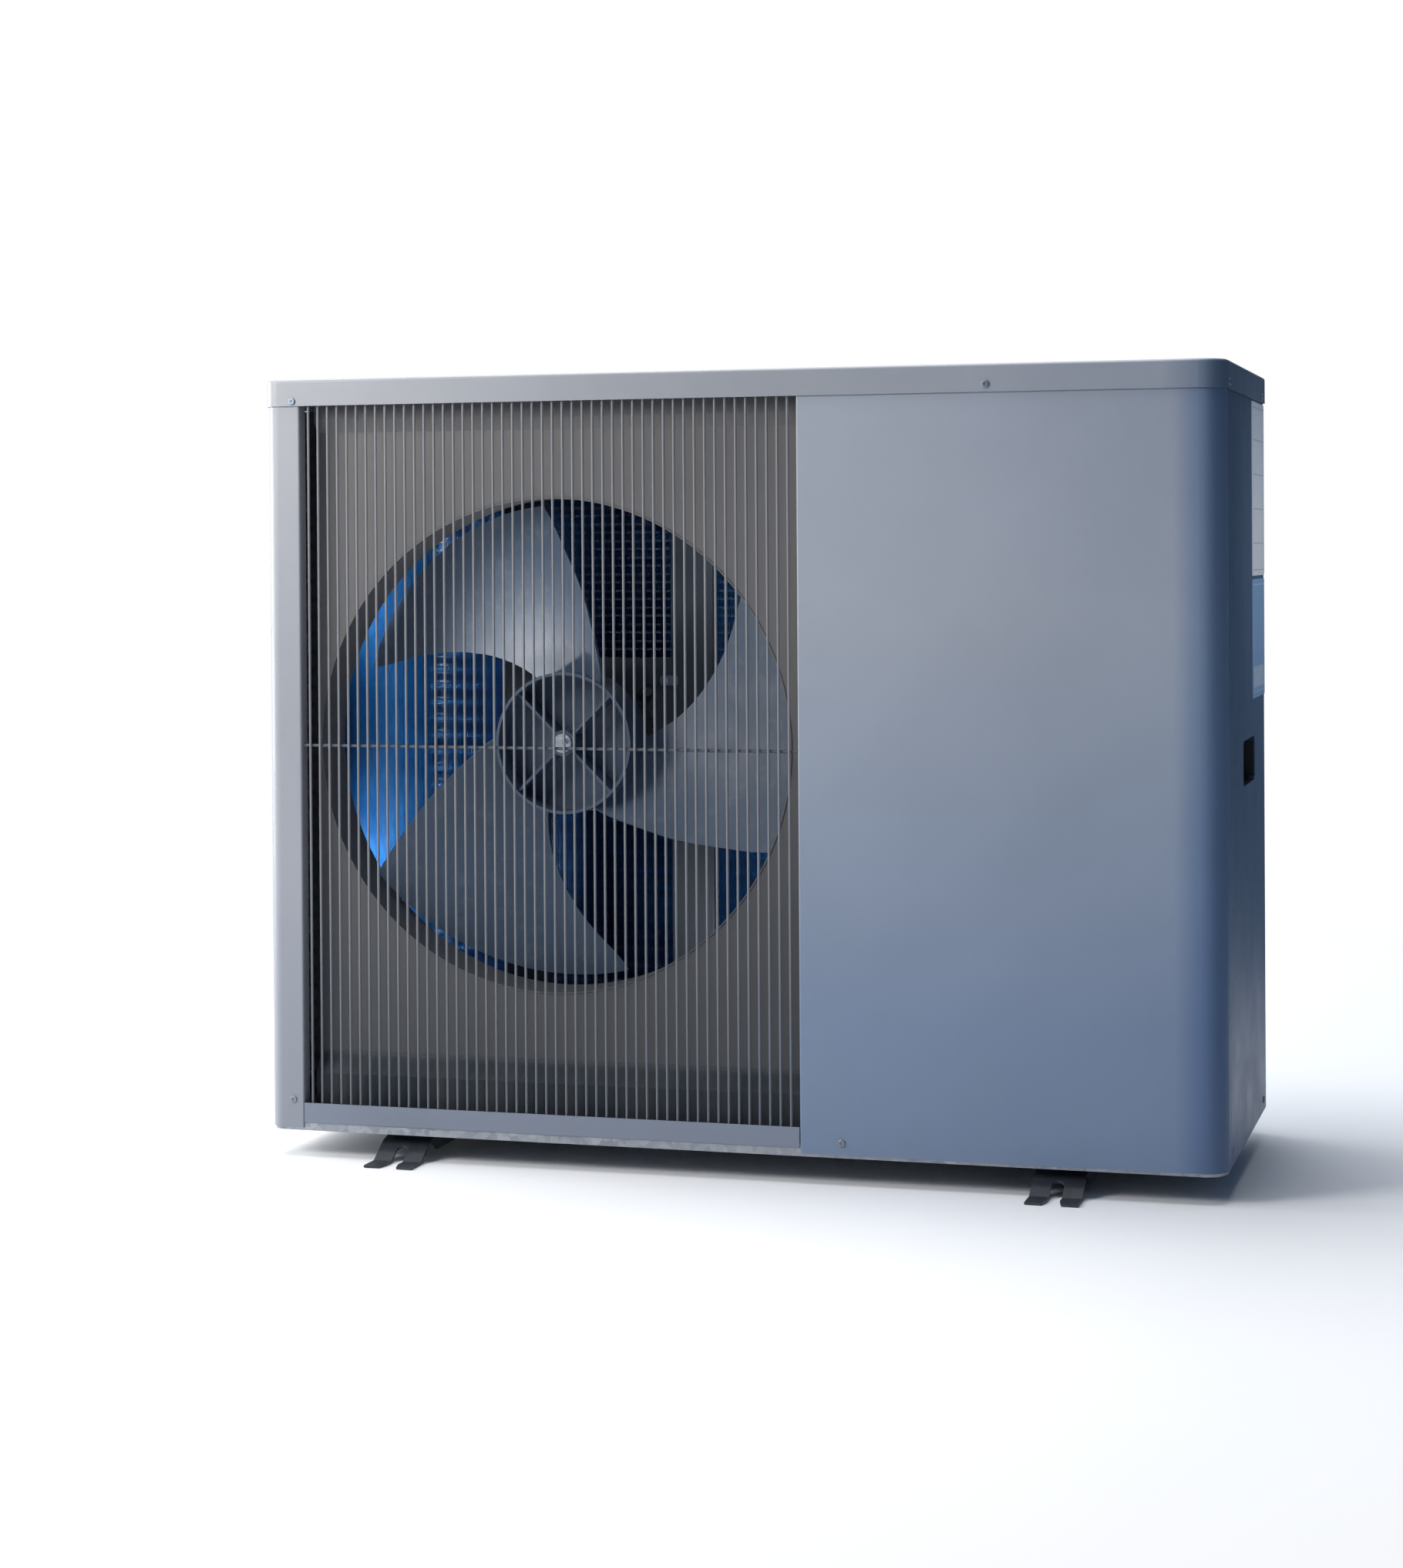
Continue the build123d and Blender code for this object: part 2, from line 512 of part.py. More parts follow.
# ------------------------------------------------------------------ fan motor
MOT_Y0, MOT_Y1 = YF + 175.0, YF + 248.0
with BuildPart() as motor_housing:
    add(y_cyl(FAN_X, FAN_Z, 60, MOT_Y0, MOT_Y1))
    add(y_cyl(FAN_X, FAN_Z, 57, MOT_Y0 - 1, MOT_Y1 - 3), mode=Mode.SUBTRACT)
    with BuildSketch(front_plane(MOT_Y1 - 3)):
        with Locations((FAN_X, FAN_Z)):
            Circle(17)
            Circle(13.02, mode=Mode.SUBTRACT)
    extrude(amount=9)
    # mounting lugs
    with BuildSketch(front_plane(MOT_Y1)):
        with Locations((FAN_X, FAN_Z)):
            with PolarLocations(68, 4, start_angle=45):
                SlotOverall(34, 16)
            Circle(58.5, mode=Mode.SUBTRACT)
    extrude(amount=5)
    with BuildSketch(front_plane(MOT_Y1 + 2)):
        with Locations((FAN_X, FAN_Z)):
            with PolarLocations(75, 4, start_angle=45):
                Circle(3.2)
    extrude(amount=12, mode=Mode.SUBTRACT)
    # cooling ribs round the can
    with BuildSketch(front_plane(MOT_Y1 - 8)):
        with Locations((FAN_X, FAN_Z)):
            with PolarLocations(60.8, 24, start_angle=7.5):
                Rectangle(4, 2.5)
            Circle(59, mode=Mode.SUBTRACT)
    extrude(amount=52)
motor_housing.part.label = "motor_housing"
export_step(motor_housing.part, "parts/motor_housing.step")

with BuildPart() as motor_end_cap:
    with BuildSketch(front_plane(MOT_Y0 - 0.1)):
        with Locations((FAN_X, FAN_Z)):
            Circle(60)
            Circle(6.5, mode=Mode.SUBTRACT)
    extrude(amount=3)
    with BuildSketch(front_plane(MOT_Y0 - 0.1)):
        with Locations((FAN_X, FAN_Z)):
            Circle(17)
            Circle(13.02, mode=Mode.SUBTRACT)
    extrude(amount=-9)
    with BuildSketch(front_plane(MOT_Y0 - 3.1)):
        with Locations((FAN_X, FAN_Z)):
            Circle(24)
            Circle(6.5, mode=Mode.SUBTRACT)
    extrude(amount=4)
motor_end_cap.part.label = "motor_end_cap"
export_step(motor_end_cap.part, "parts/motor_end_cap.step")

with BuildPart() as motor_bearings:
    for ya, yb in ((MOT_Y0 + 0.1, MOT_Y0 + 8.5), (MOT_Y1 - 12, MOT_Y1 - 3.5)):
        with BuildSketch(front_plane(yb)):
            with Locations((FAN_X, FAN_Z)):
                Circle(13)
                Circle(SHAFT_R + 0.03, mode=Mode.SUBTRACT)
        extrude(amount=yb - ya)
motor_bearings.part.label = "motor_bearings"
export_step(motor_bearings.part, "parts/motor_bearings.step")

with BuildPart() as motor_rotor:
    with BuildSketch(front_plane(YF + 229)):
        with Locations((FAN_X, FAN_Z)):
            Circle(39)
            Circle(SHAFT_R + 0.02, mode=Mode.SUBTRACT)
    extrude(amount=36)
motor_rotor.part.label = "motor_rotor"
export_step(motor_rotor.part, "parts/motor_rotor.step")

with BuildPart() as motor_stator:
    with BuildSketch(front_plane(YF + 232)):
        with Locations((FAN_X, FAN_Z)):
            Circle(56.95)
            Circle(39.8, mode=Mode.SUBTRACT)
            with PolarLocations(45, 12):
                Rectangle(8, 5, mode=Mode.SUBTRACT)
    extrude(amount=42)
motor_stator.part.label = "motor_stator"
export_step(motor_stator.part, "parts/motor_stator.step")

LEG_Y = YF + 251.0
with BuildPart() as motor_bracket:
    for cx in (FAN_X - 106.5, FAN_X + 106.5):
        extrude(strip([(cx - 26.5 + h, LEG_Y + 16), (cx - 26.5 + h, LEG_Y + h), (cx + 26.5 - h, LEG_Y + h), (cx + 26.5 - h, LEG_Y + 16)],
                      [1.5, 1.5], Plane.XY.offset(FLOOR + 3.2), T), amount=ZT - 22 - FLOOR - 3.2, dir=(0, 0, 1))
    # plate carrying the motor, joined to both legs
    with BuildSketch(front_plane(LEG_Y + 0.4)):
        with Locations((FAN_X, FAN_Z)):
            Rectangle(240, 186)
            Circle(22, mode=Mode.SUBTRACT)
            with PolarLocations(75, 4, start_angle=45):
                Circle(3.2, mode=Mode.SUBTRACT)
    extrude(amount=2.3)
motor_bracket.part.label = "motor_bracket"
export_step(motor_bracket.part, "parts/motor_bracket.step")

with BuildPart() as motor_screws:
    for a in (45, 135, 225, 315):
        x, z = FAN_X + 75 * cos(radians(a)), FAN_Z + 75 * sin(radians(a))
        add(y_cyl(x, z, 5.5, MOT_Y1 - 5 - 3.6, MOT_Y1 - 5 - 0.05))
        add(y_cyl(x, z, 3.0, MOT_Y1 - 5 - 0.05, LEG_Y + 3))
motor_screws.part.label = "motor_screws"
export_step(motor_screws.part, "parts/motor_screws.step")

with BuildPart() as motor_cable_clip:
    with BuildSketch(front_plane(LEG_Y - 2.0)):
        with Locations((FAN_X + 78, FAN_Z + 66)):
            RectangleRounded(22, 12, 3)
    extrude(amount=1.6)
    with BuildSketch(front_plane(LEG_Y - 3.5)):
        with Locations((FAN_X + 72, FAN_Z + 66)):
            Circle(4.5)
    extrude(amount=3.0)
motor_cable_clip.part.label = "motor_cable_clip"
export_step(motor_cable_clip.part, "parts/motor_cable_clip.step")

# ------------------------------------------------------------------ evaporator
with BuildPart() as evaporator_fins_back:
    add(block(CX, COIL_X1, COIL_YO - COIL_T, COIL_YO, COIL_Z0, COIL_Z1))
evaporator_fins_back.part.label = "evaporator_fins_back"
export_step(evaporator_fins_back.part, "parts/evaporator_fins_back.step")

with BuildPart() as evaporator_fins_corner:
    with BuildSketch(Plane.XY.offset(COIL_Z0)):
        with BuildLine():
            CenterArc((CX, CY), COIL_R, 90, 90)
            CenterArc((CX, CY), COIL_R - COIL_T, 90, 90)
            Line((CX, CY + COIL_R), (CX, CY + COIL_R - COIL_T))
            Line((CX - COIL_R, CY), (CX - COIL_R + COIL_T, CY))
        make_face()
    extrude(amount=COIL_Z1 - COIL_Z0)
evaporator_fins_corner.part.label = "evaporator_fins_corner"
export_step(evaporator_fins_corner.part, "parts/evaporator_fins_corner.step")

with BuildPart() as evaporator_fins_side:
    add(block(COIL_XO, COIL_XO + COIL_T, COIL_Y1, CY, COIL_Z0, COIL_Z1))
evaporator_fins_side.part.label = "evaporator_fins_side"
export_step(evaporator_fins_side.part, "parts/evaporator_fins_side.step")

with BuildPart() as coil_end_plates:
    add(block(COIL_X1 + 0.05, COIL_X1 + 1.25, COIL_YO - COIL_T - 2, COIL_YO + 1, COIL_Z0 - 4, COIL_Z1 + 4))
    add(block(COIL_XO - 0.5, COIL_XO + COIL_T + 2, COIL_Y1 - 1.25, COIL_Y1 - 0.05, COIL_Z0 - 4, COIL_Z1 + 4))
coil_end_plates.part.label = "coil_end_plates"
export_step(coil_end_plates.part, "parts/coil_end_plates.step")

# hairpin ends of the tube rows, two rows deep
rows = ((COIL_R - COIL_T / 2 - 9, 0.0), (COIL_R - COIL_T / 2 + 9, TUBE_PITCH / 2))
with BuildPart() as one_bend:
    with BuildLine() as bl:
        CenterArc((0, 0, 0), TUBE_PITCH / 2, -90, 180)
    with BuildSketch(bl.line ^ 0):
        Circle(TUBE_R)
    sweep()
bends = []
for rr, dz in rows:
    u_right = Pos(COIL_X1 + 1.3, CY + rr, 0) * Rot(90, 0, 0) * one_bend.part
    u_front = Pos(CX - rr, COIL_Y1 - 1.3, 0) * Rot(0, 0, -90) * Rot(90, 0, 0) * one_bend.part
    for i in range(0, TUBE_N - 1, 2):
        z = COIL_Z0 + 9 + dz + TUBE_PITCH * (i + 0.5)
        if i + 2 < TUBE_N:
            bends.append(Pos(0, 0, z + TUBE_PITCH) * u_right)
        bends.append(Pos(0, 0, z) * u_front)
with BuildPart() as evaporator_bends:
    add(bends)
evaporator_bends.part.label = "evaporator_bends"
export_step(evaporator_bends.part, "parts/evaporator_bends.step")

# ------------------------------------------------------------------ compressor group
with BuildPart() as compressor:
    with BuildSketch(Plane(origin=(COMP[0], COMP[1], 0), x_dir=(1, 0, 0), z_dir=(0, -1, 0))):
        with BuildLine():
            Polyline((0, 64), (44, 64), (60, 78), (60, 350), (46, 368), (20, 374), (0, 374), close=True)
        make_face()
    revolve(axis=Axis((COMP[0], COMP[1], 0), (0, 0, 1)), revolution_arc=360)
    add(z_cyl(COMP[0] + 28, COMP[1], 8, 360, 378))
    with BuildSketch(Plane.XY.offset(64)):
        with BuildLine():
            FilletPolyline((COMP[0], COMP[1] - 118), (COMP[0] + 102, COMP[1] + 59), (COMP[0] - 102, COMP[1] + 59), radius=18, close=True)
        make_face()
        with Locations(*COMP_FEET):
            Circle(6, mode=Mode.SUBTRACT)
    extrude(amount=3.5)
compressor.part.label = "compressor"
export_step(compressor.part, "parts/compressor.step")

with BuildPart() as compressor_grommets:
    for x, y in COMP_FEET:
        with BuildSketch(Plane.XY.offset(FLOOR)):
            with Locations((x, y)):
                Circle(13)
                Circle(4.6, mode=Mode.SUBTRACT)
        extrude(amount=64 - FLOOR)
        with BuildSketch(Plane.XY.offset(64)):
            with Locations((x, y)):
                Circle(5.9)
                Circle(4.6, mode=Mode.SUBTRACT)
        extrude(amount=3.6)
compressor_grommets.part.label = "compressor_grommets"
export_step(compressor_grommets.part, "parts/compressor_grommets.step")

with BuildPart() as compressor_bolts:
    for x, y in COMP_FEET:
        add(z_cyl(x, y, 4.2, FLOOR, 76))
        with BuildSketch(Plane.XY.offset(67.7)):
            with Locations((x, y)):
                Circle(12)
        extrude(amount=1.5)
        with BuildSketch(Plane.XY.offset(69.2)):
            with Locations((x, y)):
                RegularPolygon(7.5, 6)
        extrude(amount=5)
compressor_bolts.part.label = "compressor_bolts"
export_step(compressor_bolts.part, "parts/compressor_bolts.step")

with BuildPart() as compressor_terminal_cover:
    with BuildSketch(Plane.XY.offset(374.1)):
        with Locations((COMP[0] - 12, COMP[1])):
            RectangleRounded(34, 46, 8)
    extrude(amount=26)
    fillet(compressor_terminal_cover.faces().sort_by(Axis.Z)[-1].edges(), radius=5)
compressor_terminal_cover.part.label = "compressor_terminal_cover"
export_step(compressor_terminal_cover.part, "parts/compressor_terminal_cover.step")

ACC = (352.0, -110.0)
with BuildPart() as accumulator:
    with BuildSketch(Plane(origin=(ACC[0], ACC[1], 0), x_dir=(1, 0, 0), z_dir=(0, -1, 0))):
        with BuildLine():
            Polyline((0, 60), (20, 60), (34, 74), (34, 286), (20, 300), (0, 300), close=True)
        make_face()
    revolve(axis=Axis((ACC[0], ACC[1], 0), (0, 0, 1)), revolution_arc=360)
    # foot bracket
    add(z_cyl(ACC[0], ACC[1], 20, FLOOR, 60))
accumulator.part.label = "accumulator"
export_step(accumulator.part, "parts/accumulator.step")

VALVE_Z = 500.0
with BuildPart() as four_way_valve:
    add(x_cyl(-10, VALVE_Z, 15, 190, 320))
    add(z_cyl(255, -10, 7, VALVE_Z, VALVE_Z + 34))
    for x in (225, 255, 285):
        add(z_cyl(x, -10, 8, VALVE_Z - 34, VALVE_Z))
    # pilot coil
    add(y_cyl(300, VALVE_Z, 12, 4.9, 34))
four_way_valve.part.label = "four_way_valve"
export_step(four_way_valve.part, "parts/four_way_valve.step")

with BuildPart() as expansion_valve:
    add(z_cyl(140, 60, 14, 300, 350))
    add(z_cyl(140, 60, 19, 350, 384))
    add(z_cyl(140, 60, 6, 284, 300))
expansion_valve.part.label = "expansion_valve"
export_step(expansion_valve.part, "parts/expansion_valve.step")

with BuildPart() as filter_drier:
    with BuildSketch(Plane(origin=(200, 110, 0), x_dir=(1, 0, 0), z_dir=(0, -1, 0))):
        with BuildLine():
            Polyline((0, 130), (7, 130), (7, 142), (20, 156), (20, 236), (7, 250), (7, 262), (0, 262), close=True)
        make_face()
    revolve(axis=Axis((200, 110, 0), (0, 0, 1)), revolution_arc=360)
filter_drier.part.label = "filter_drier"
export_step(filter_drier.part, "parts/filter_drier.step")

HX = (UNION_X, 85.0)
pipe_runs = [
    # compressor discharge to the valve's single top port
    tube_solid([(COMP[0] + 28, COMP[1], 378.1), (COMP[0] + 28, COMP[1], 600), (255, -10, 600), (255, -10, VALVE_Z + 34.1)], [22, 22], 6),
    # valve middle port to the accumulator
    tube_solid([(255, -10, VALVE_Z - 34.1), (255, -10, 420), (ACC[0], ACC[1], 420), (ACC[0], ACC[1], 300.1)], [20, 24], 7),
    # valve right port to the exchanger
    tube_solid([(285, -10, VALVE_Z - 34.1), (285, -10, 440), (346, 60, 440), (346, 60, 650), (HX[0] - 20, 85, 650), (HX[0] - 20, 85, 613)], [12, 24, 24, 16], 7),
    # valve left port to the coil header
    tube_solid([(225, -10, VALVE_Z - 34.1), (225, -10, 430), (132, 140, 430), (132, 140, 500)], [16, 24], 7),
    # exchanger liquid line to the drier
    tube_solid([(HX[0] + 20, 85, 613), (HX[0] + 20, 85, 640), (HX[0] + 20, 190, 640), (200, 190, 640), (200, 190, 300), (200, 110, 300), (200, 110, 262.1)], [12, 24, 24, 24, 16], 5),
    # drier to the expansion valve
    tube_solid([(200, 110, 129.9), (200, 110, 100), (140, 60, 100), (140, 60, 283.9)], [14, 20], 5),
    # coil gas header and liquid riser
    z_cyl(132, 140, 9, 500.1, 820),
    z_cyl(140, 60, 8, 384.1, 470),
]
with BuildPart() as refrigerant_pipes:
    add(pipe_runs)
refrigerant_pipes.part.label = "refrigerant_pipes"
export_step(refrigerant_pipes.part, "parts/refrigerant_pipes.step")

# ------------------------------------------------------------------ water heat exchanger
with BuildPart() as exchanger_shell:
    with BuildSketch(Plane(origin=(HX[0], HX[1], 0), x_dir=(1, 0, 0), z_dir=(0, -1, 0))):
        with BuildLine():
            Polyline((0, FLOOR + 0.1), (60, FLOOR + 0.1), (60, 46), (78, 52), (78, 575), (66, 596), (40, 602), (0, 602), close=True)
        make_face()
    revolve(axis=Axis((HX[0], HX[1], 0), (0, 0, 1)), revolution_arc=360)
    add([y_cyl(HX[0], z, 34, HX[1], 166) for z in UNION_ZS])
    add(z_cyl(HX[0], HX[1], 70, 60, 570), mode=Mode.SUBTRACT)
    add([y_cyl(HX[0], z, 21, HX[1], 170) for z in UNION_ZS], mode=Mode.SUBTRACT)
    add([z_cyl(HX[0] + s, HX[1], 10, 598, 612.9) for s in (-20, 20)])
exchanger_shell.part.label = "exchanger_shell"
export_step(exchanger_shell.part, "parts/exchanger_shell.step")

with BuildPart() as exchanger_coil:
    # wound titanium tube, drawn as stacked rings of the same section
    for i in range(16):
        with BuildSketch(Plane(origin=(HX[0], HX[1], 0), x_dir=(1, 0, 0), z_dir=(0, -1, 0))):
            with Locations((52, 90 + 28.0 * i)):
                Circle(8)
        revolve(axis=Axis((HX[0], HX[1], 0), (0, 0, 1)), revolution_arc=360)
exchanger_coil.part.label = "exchanger_coil"
export_step(exchanger_coil.part, "parts/exchanger_coil.step")

with BuildPart() as union_bodies:
    for z in UNION_ZS:
        with BuildSketch(front_plane(204)):
            with Locations((UNION_X, z)):
                Circle(30)
                Circle(21, mode=Mode.SUBTRACT)
        extrude(amount=204 - 166.05)
        with BuildSketch(front_plane(221)):
            with Locations((UNION_X, z)):
                Circle(36)
                Circle(21, mode=Mode.SUBTRACT)
        extrude(amount=221 - 204)
union_bodies.part.label = "union_bodies"
export_step(union_bodies.part, "parts/union_bodies.step")

with BuildPart() as union_tailpieces:
    for z in UNION_ZS:
        with BuildSketch(front_plane(226.5)):
            with Locations((UNION_X, z)):
                Circle(33.5)
        extrude(amount=226.5 - 221.1)
        with BuildSketch(front_plane(UNION_END)):
            with Locations((UNION_X, z)):
                Circle(30)
        extrude(amount=UNION_END - 226.5)
        add(y_cyl(UNION_X, z, 21, 220, 240), mode=Mode.SUBTRACT)
        add(y_cyl(UNION_X, z, SOCKET_R, UNION_END - 27, UNION_END + 5), mode=Mode.SUBTRACT)
union_tailpieces.part.label = "union_tailpieces"
export_step(union_tailpieces.part, "parts/union_tailpieces.step")


def union_nut(z):
    with BuildPart() as n:
        with BuildSketch(front_plane(232)):
            with Locations((UNION_X, z)):
                Circle(43)
                with PolarLocations(42.5, 8):
                    RectangleRounded(7, 12, 2.5)
        extrude(amount=20)
        add(y_cyl(UNION_X, z, 36.3, 211, 226.8), mode=Mode.SUBTRACT)
        add(y_cyl(UNION_X, z, 30.3, 226, 233), mode=Mode.SUBTRACT)
        chamfer(n.edges().filter_by(GeomType.CIRCLE).group_by(Axis.Y)[-1].sort_by(SortBy.RADIUS)[-1:], 1.0)
    return n.part


nut_in = union_nut(UNION_ZS[0])
nut_in.label = "inlet_union_nut"
export_step(nut_in, "parts/inlet_union_nut.step")
nut_out = union_nut(UNION_ZS[1])
nut_out.label = "outlet_union_nut"
export_step(nut_out, "parts/outlet_union_nut.step")

with BuildPart() as flow_switch:
    add(z_cyl(UNION_X, 186, 11, UNION_ZS[1] + 30, UNION_ZS[1] + 44))
    add(block(UNION_X - 17, UNION_X + 17, 170, 202, UNION_ZS[1] + 44, UNION_ZS[1] + 72))
flow_switch.part.label = "flow_switch"
export_step(flow_switch.part, "parts/flow_switch.step")

# ------------------------------------------------------------------ drain and glands
with BuildPart() as drain_spout:
    add(z_cyl(DRAIN[0], DRAIN[1], 16, FLOOR + 3.1, FLOOR + 5.1))
    add(z_cyl(DRAIN[0], DRAIN[1], 9.6, 20, FLOOR + 4))
    add(z_cyl(DRAIN[0], DRAIN[1], 10, 8, 26))
    add(z_cyl(DRAIN[0], DRAIN[1], 7, 5, FLOOR + 8), mode=Mode.SUBTRACT)
drain_spout.part.label = "drain_spout"
export_step(drain_spout.part, "parts/drain_spout.step")

with BuildPart() as cable_glands:
    for x in GLAND_XS:
        with BuildSketch(front_plane(YR + 6.1)):
            with Locations((x, GLAND_Z)):
                RegularPolygon(14, 6)
        extrude(amount=6)
        with BuildSketch(front_plane(YR + 26)):
            with Locations((x, GLAND_Z)):
                Circle(12)
        extrude(amount=20, taper=0)
        add(y_cyl(x, GLAND_Z, 10, YR - 14, YR + 1))
        with BuildSketch(front_plane(YR - T - 0.1)):
            with Locations((x, GLAND_Z)):
                RegularPolygon(13.5, 6)
        extrude(amount=4)
        add(y_cyl(x, GLAND_Z, GLAND_BORE, YR - 20, YR + 30), mode=Mode.SUBTRACT)
cable_glands.part.label = "cable_glands"
export_step(cable_glands.part, "parts/cable_glands.step")

# ------------------------------------------------------------------ electrical box
EX0, EX1, EY0, EY1, EZ0, EZ1 = 122.0, 528.0, -194.0, -84.0, 672.0, 884.0
with BuildPart() as control_box:
    add(block(EX0, EX1, EY0, EY1, EZ0, EZ1))
    offset(amount=-T, openings=control_box.faces().sort_by(Axis.Y)[0])
control_box.part.label = "control_box"
export_step(control_box.part, "parts/control_box.step")

with BuildPart() as control_box_cover:
    add(block(EX0 - 4, EX1 + 4, EY0 - 1.4, EY0 - 0.2, EZ0 - 4, EZ1 + 4))
control_box_cover.part.label = "control_box_cover"
export_step(control_box_cover.part, "parts/control_box_cover.step")

with BuildPart() as circuit_board:
    add(block(150, 400, EY1 - 12, EY1 - 10.4, 690, 866))
    for x, z in ((158, 698), (392, 698), (158, 858), (392, 858)):
        add(y_cyl(x, z, 3, EY1 - 10.5, EY1 - T - 0.05))
circuit_board.part.label = "circuit_board"
export_step(circuit_board.part, "parts/circuit_board.step")

with BuildPart() as board_components:
    for x, z in ((190, 820), (228, 820), (266, 820)):
        add(y_cyl(x, z, 16, EY1 - 58, EY1 - 12.1))
    for x, z in ((320, 730), (320, 770), (320, 810)):
        add(block(x, x + 26, EY1 - 30, EY1 - 12.1, z, z + 24))
    add(block(180, 240, EY1 - 42, EY1 - 12.1, 710, 760))
    # terminal block
    add(block(420, 505, EY1 - 36, EY1 - T - 0.05, 700, 728))
    for i in range(5):
        add(block(423 + 16.5 * i, 434 + 16.5 * i, EY1 - 40, EY1 - 20, 706, 722), mode=Mode.SUBTRACT)
board_components.part.label = "board_components"
export_step(board_components.part, "parts/board_components.step")

with BuildPart() as heat_sink:
    add(block(200, 330, EY1 + 0.1, EY1 + 6, 700, 800))
    for i in range(11):
        add(block(202 + 12.2 * i, 205 + 12.2 * i, EY1 + 5, EY1 + 34, 700, 800))
heat_sink.part.label = "heat_sink"
export_step(heat_sink.part, "parts/heat_sink.step")
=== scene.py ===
import bpy, bmesh, json, math
from mathutils import Vector, Matrix


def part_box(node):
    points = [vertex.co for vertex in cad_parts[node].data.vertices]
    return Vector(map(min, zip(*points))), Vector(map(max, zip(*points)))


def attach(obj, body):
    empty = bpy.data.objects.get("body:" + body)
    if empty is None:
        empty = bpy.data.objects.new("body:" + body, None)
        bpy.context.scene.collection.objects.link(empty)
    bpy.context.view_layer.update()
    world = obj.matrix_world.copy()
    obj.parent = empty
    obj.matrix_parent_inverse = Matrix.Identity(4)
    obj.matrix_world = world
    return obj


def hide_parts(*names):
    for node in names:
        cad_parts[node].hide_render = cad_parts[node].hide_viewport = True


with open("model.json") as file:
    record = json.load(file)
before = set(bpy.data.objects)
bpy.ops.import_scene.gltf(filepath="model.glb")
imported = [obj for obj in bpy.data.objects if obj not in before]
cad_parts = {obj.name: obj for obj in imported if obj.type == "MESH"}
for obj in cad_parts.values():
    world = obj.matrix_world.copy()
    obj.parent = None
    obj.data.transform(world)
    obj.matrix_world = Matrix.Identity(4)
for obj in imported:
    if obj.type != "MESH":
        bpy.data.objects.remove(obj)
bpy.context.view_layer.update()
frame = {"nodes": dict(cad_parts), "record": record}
nodes = frame["nodes"]

scene = bpy.context.scene

# ------------------------------------------------------------------ camera
f_px, cy_px, H_PX = 3883.0, 742.8, 2034.0
yaw, pitch, roll = (math.radians(a) for a in (16.31, -0.47, -0.36))
d = Vector((-math.sin(yaw) * math.cos(pitch), math.cos(yaw) * math.cos(pitch), math.sin(pitch)))
r = Vector((math.cos(yaw), math.sin(yaw), 0.0))
u = r.cross(d)
r2 = r * math.cos(roll) + u * math.sin(roll)
u2 = -r * math.sin(roll) + u * math.cos(roll)
cam_data = bpy.data.cameras.new("camera")
cam = bpy.data.objects.new("camera", cam_data)
scene.collection.objects.link(cam)
m = Matrix((r2, u2, -d)).transposed().to_4x4()
m.translation = Vector((0.915, -3.422, 0.706))
cam.matrix_world = m
cam_data.lens = f_px * 36.0 / H_PX
cam_data.sensor_width = 36.0
cam_data.shift_y = (cy_px - H_PX / 2) / H_PX
cam_data.clip_end = 100
scene.camera = cam


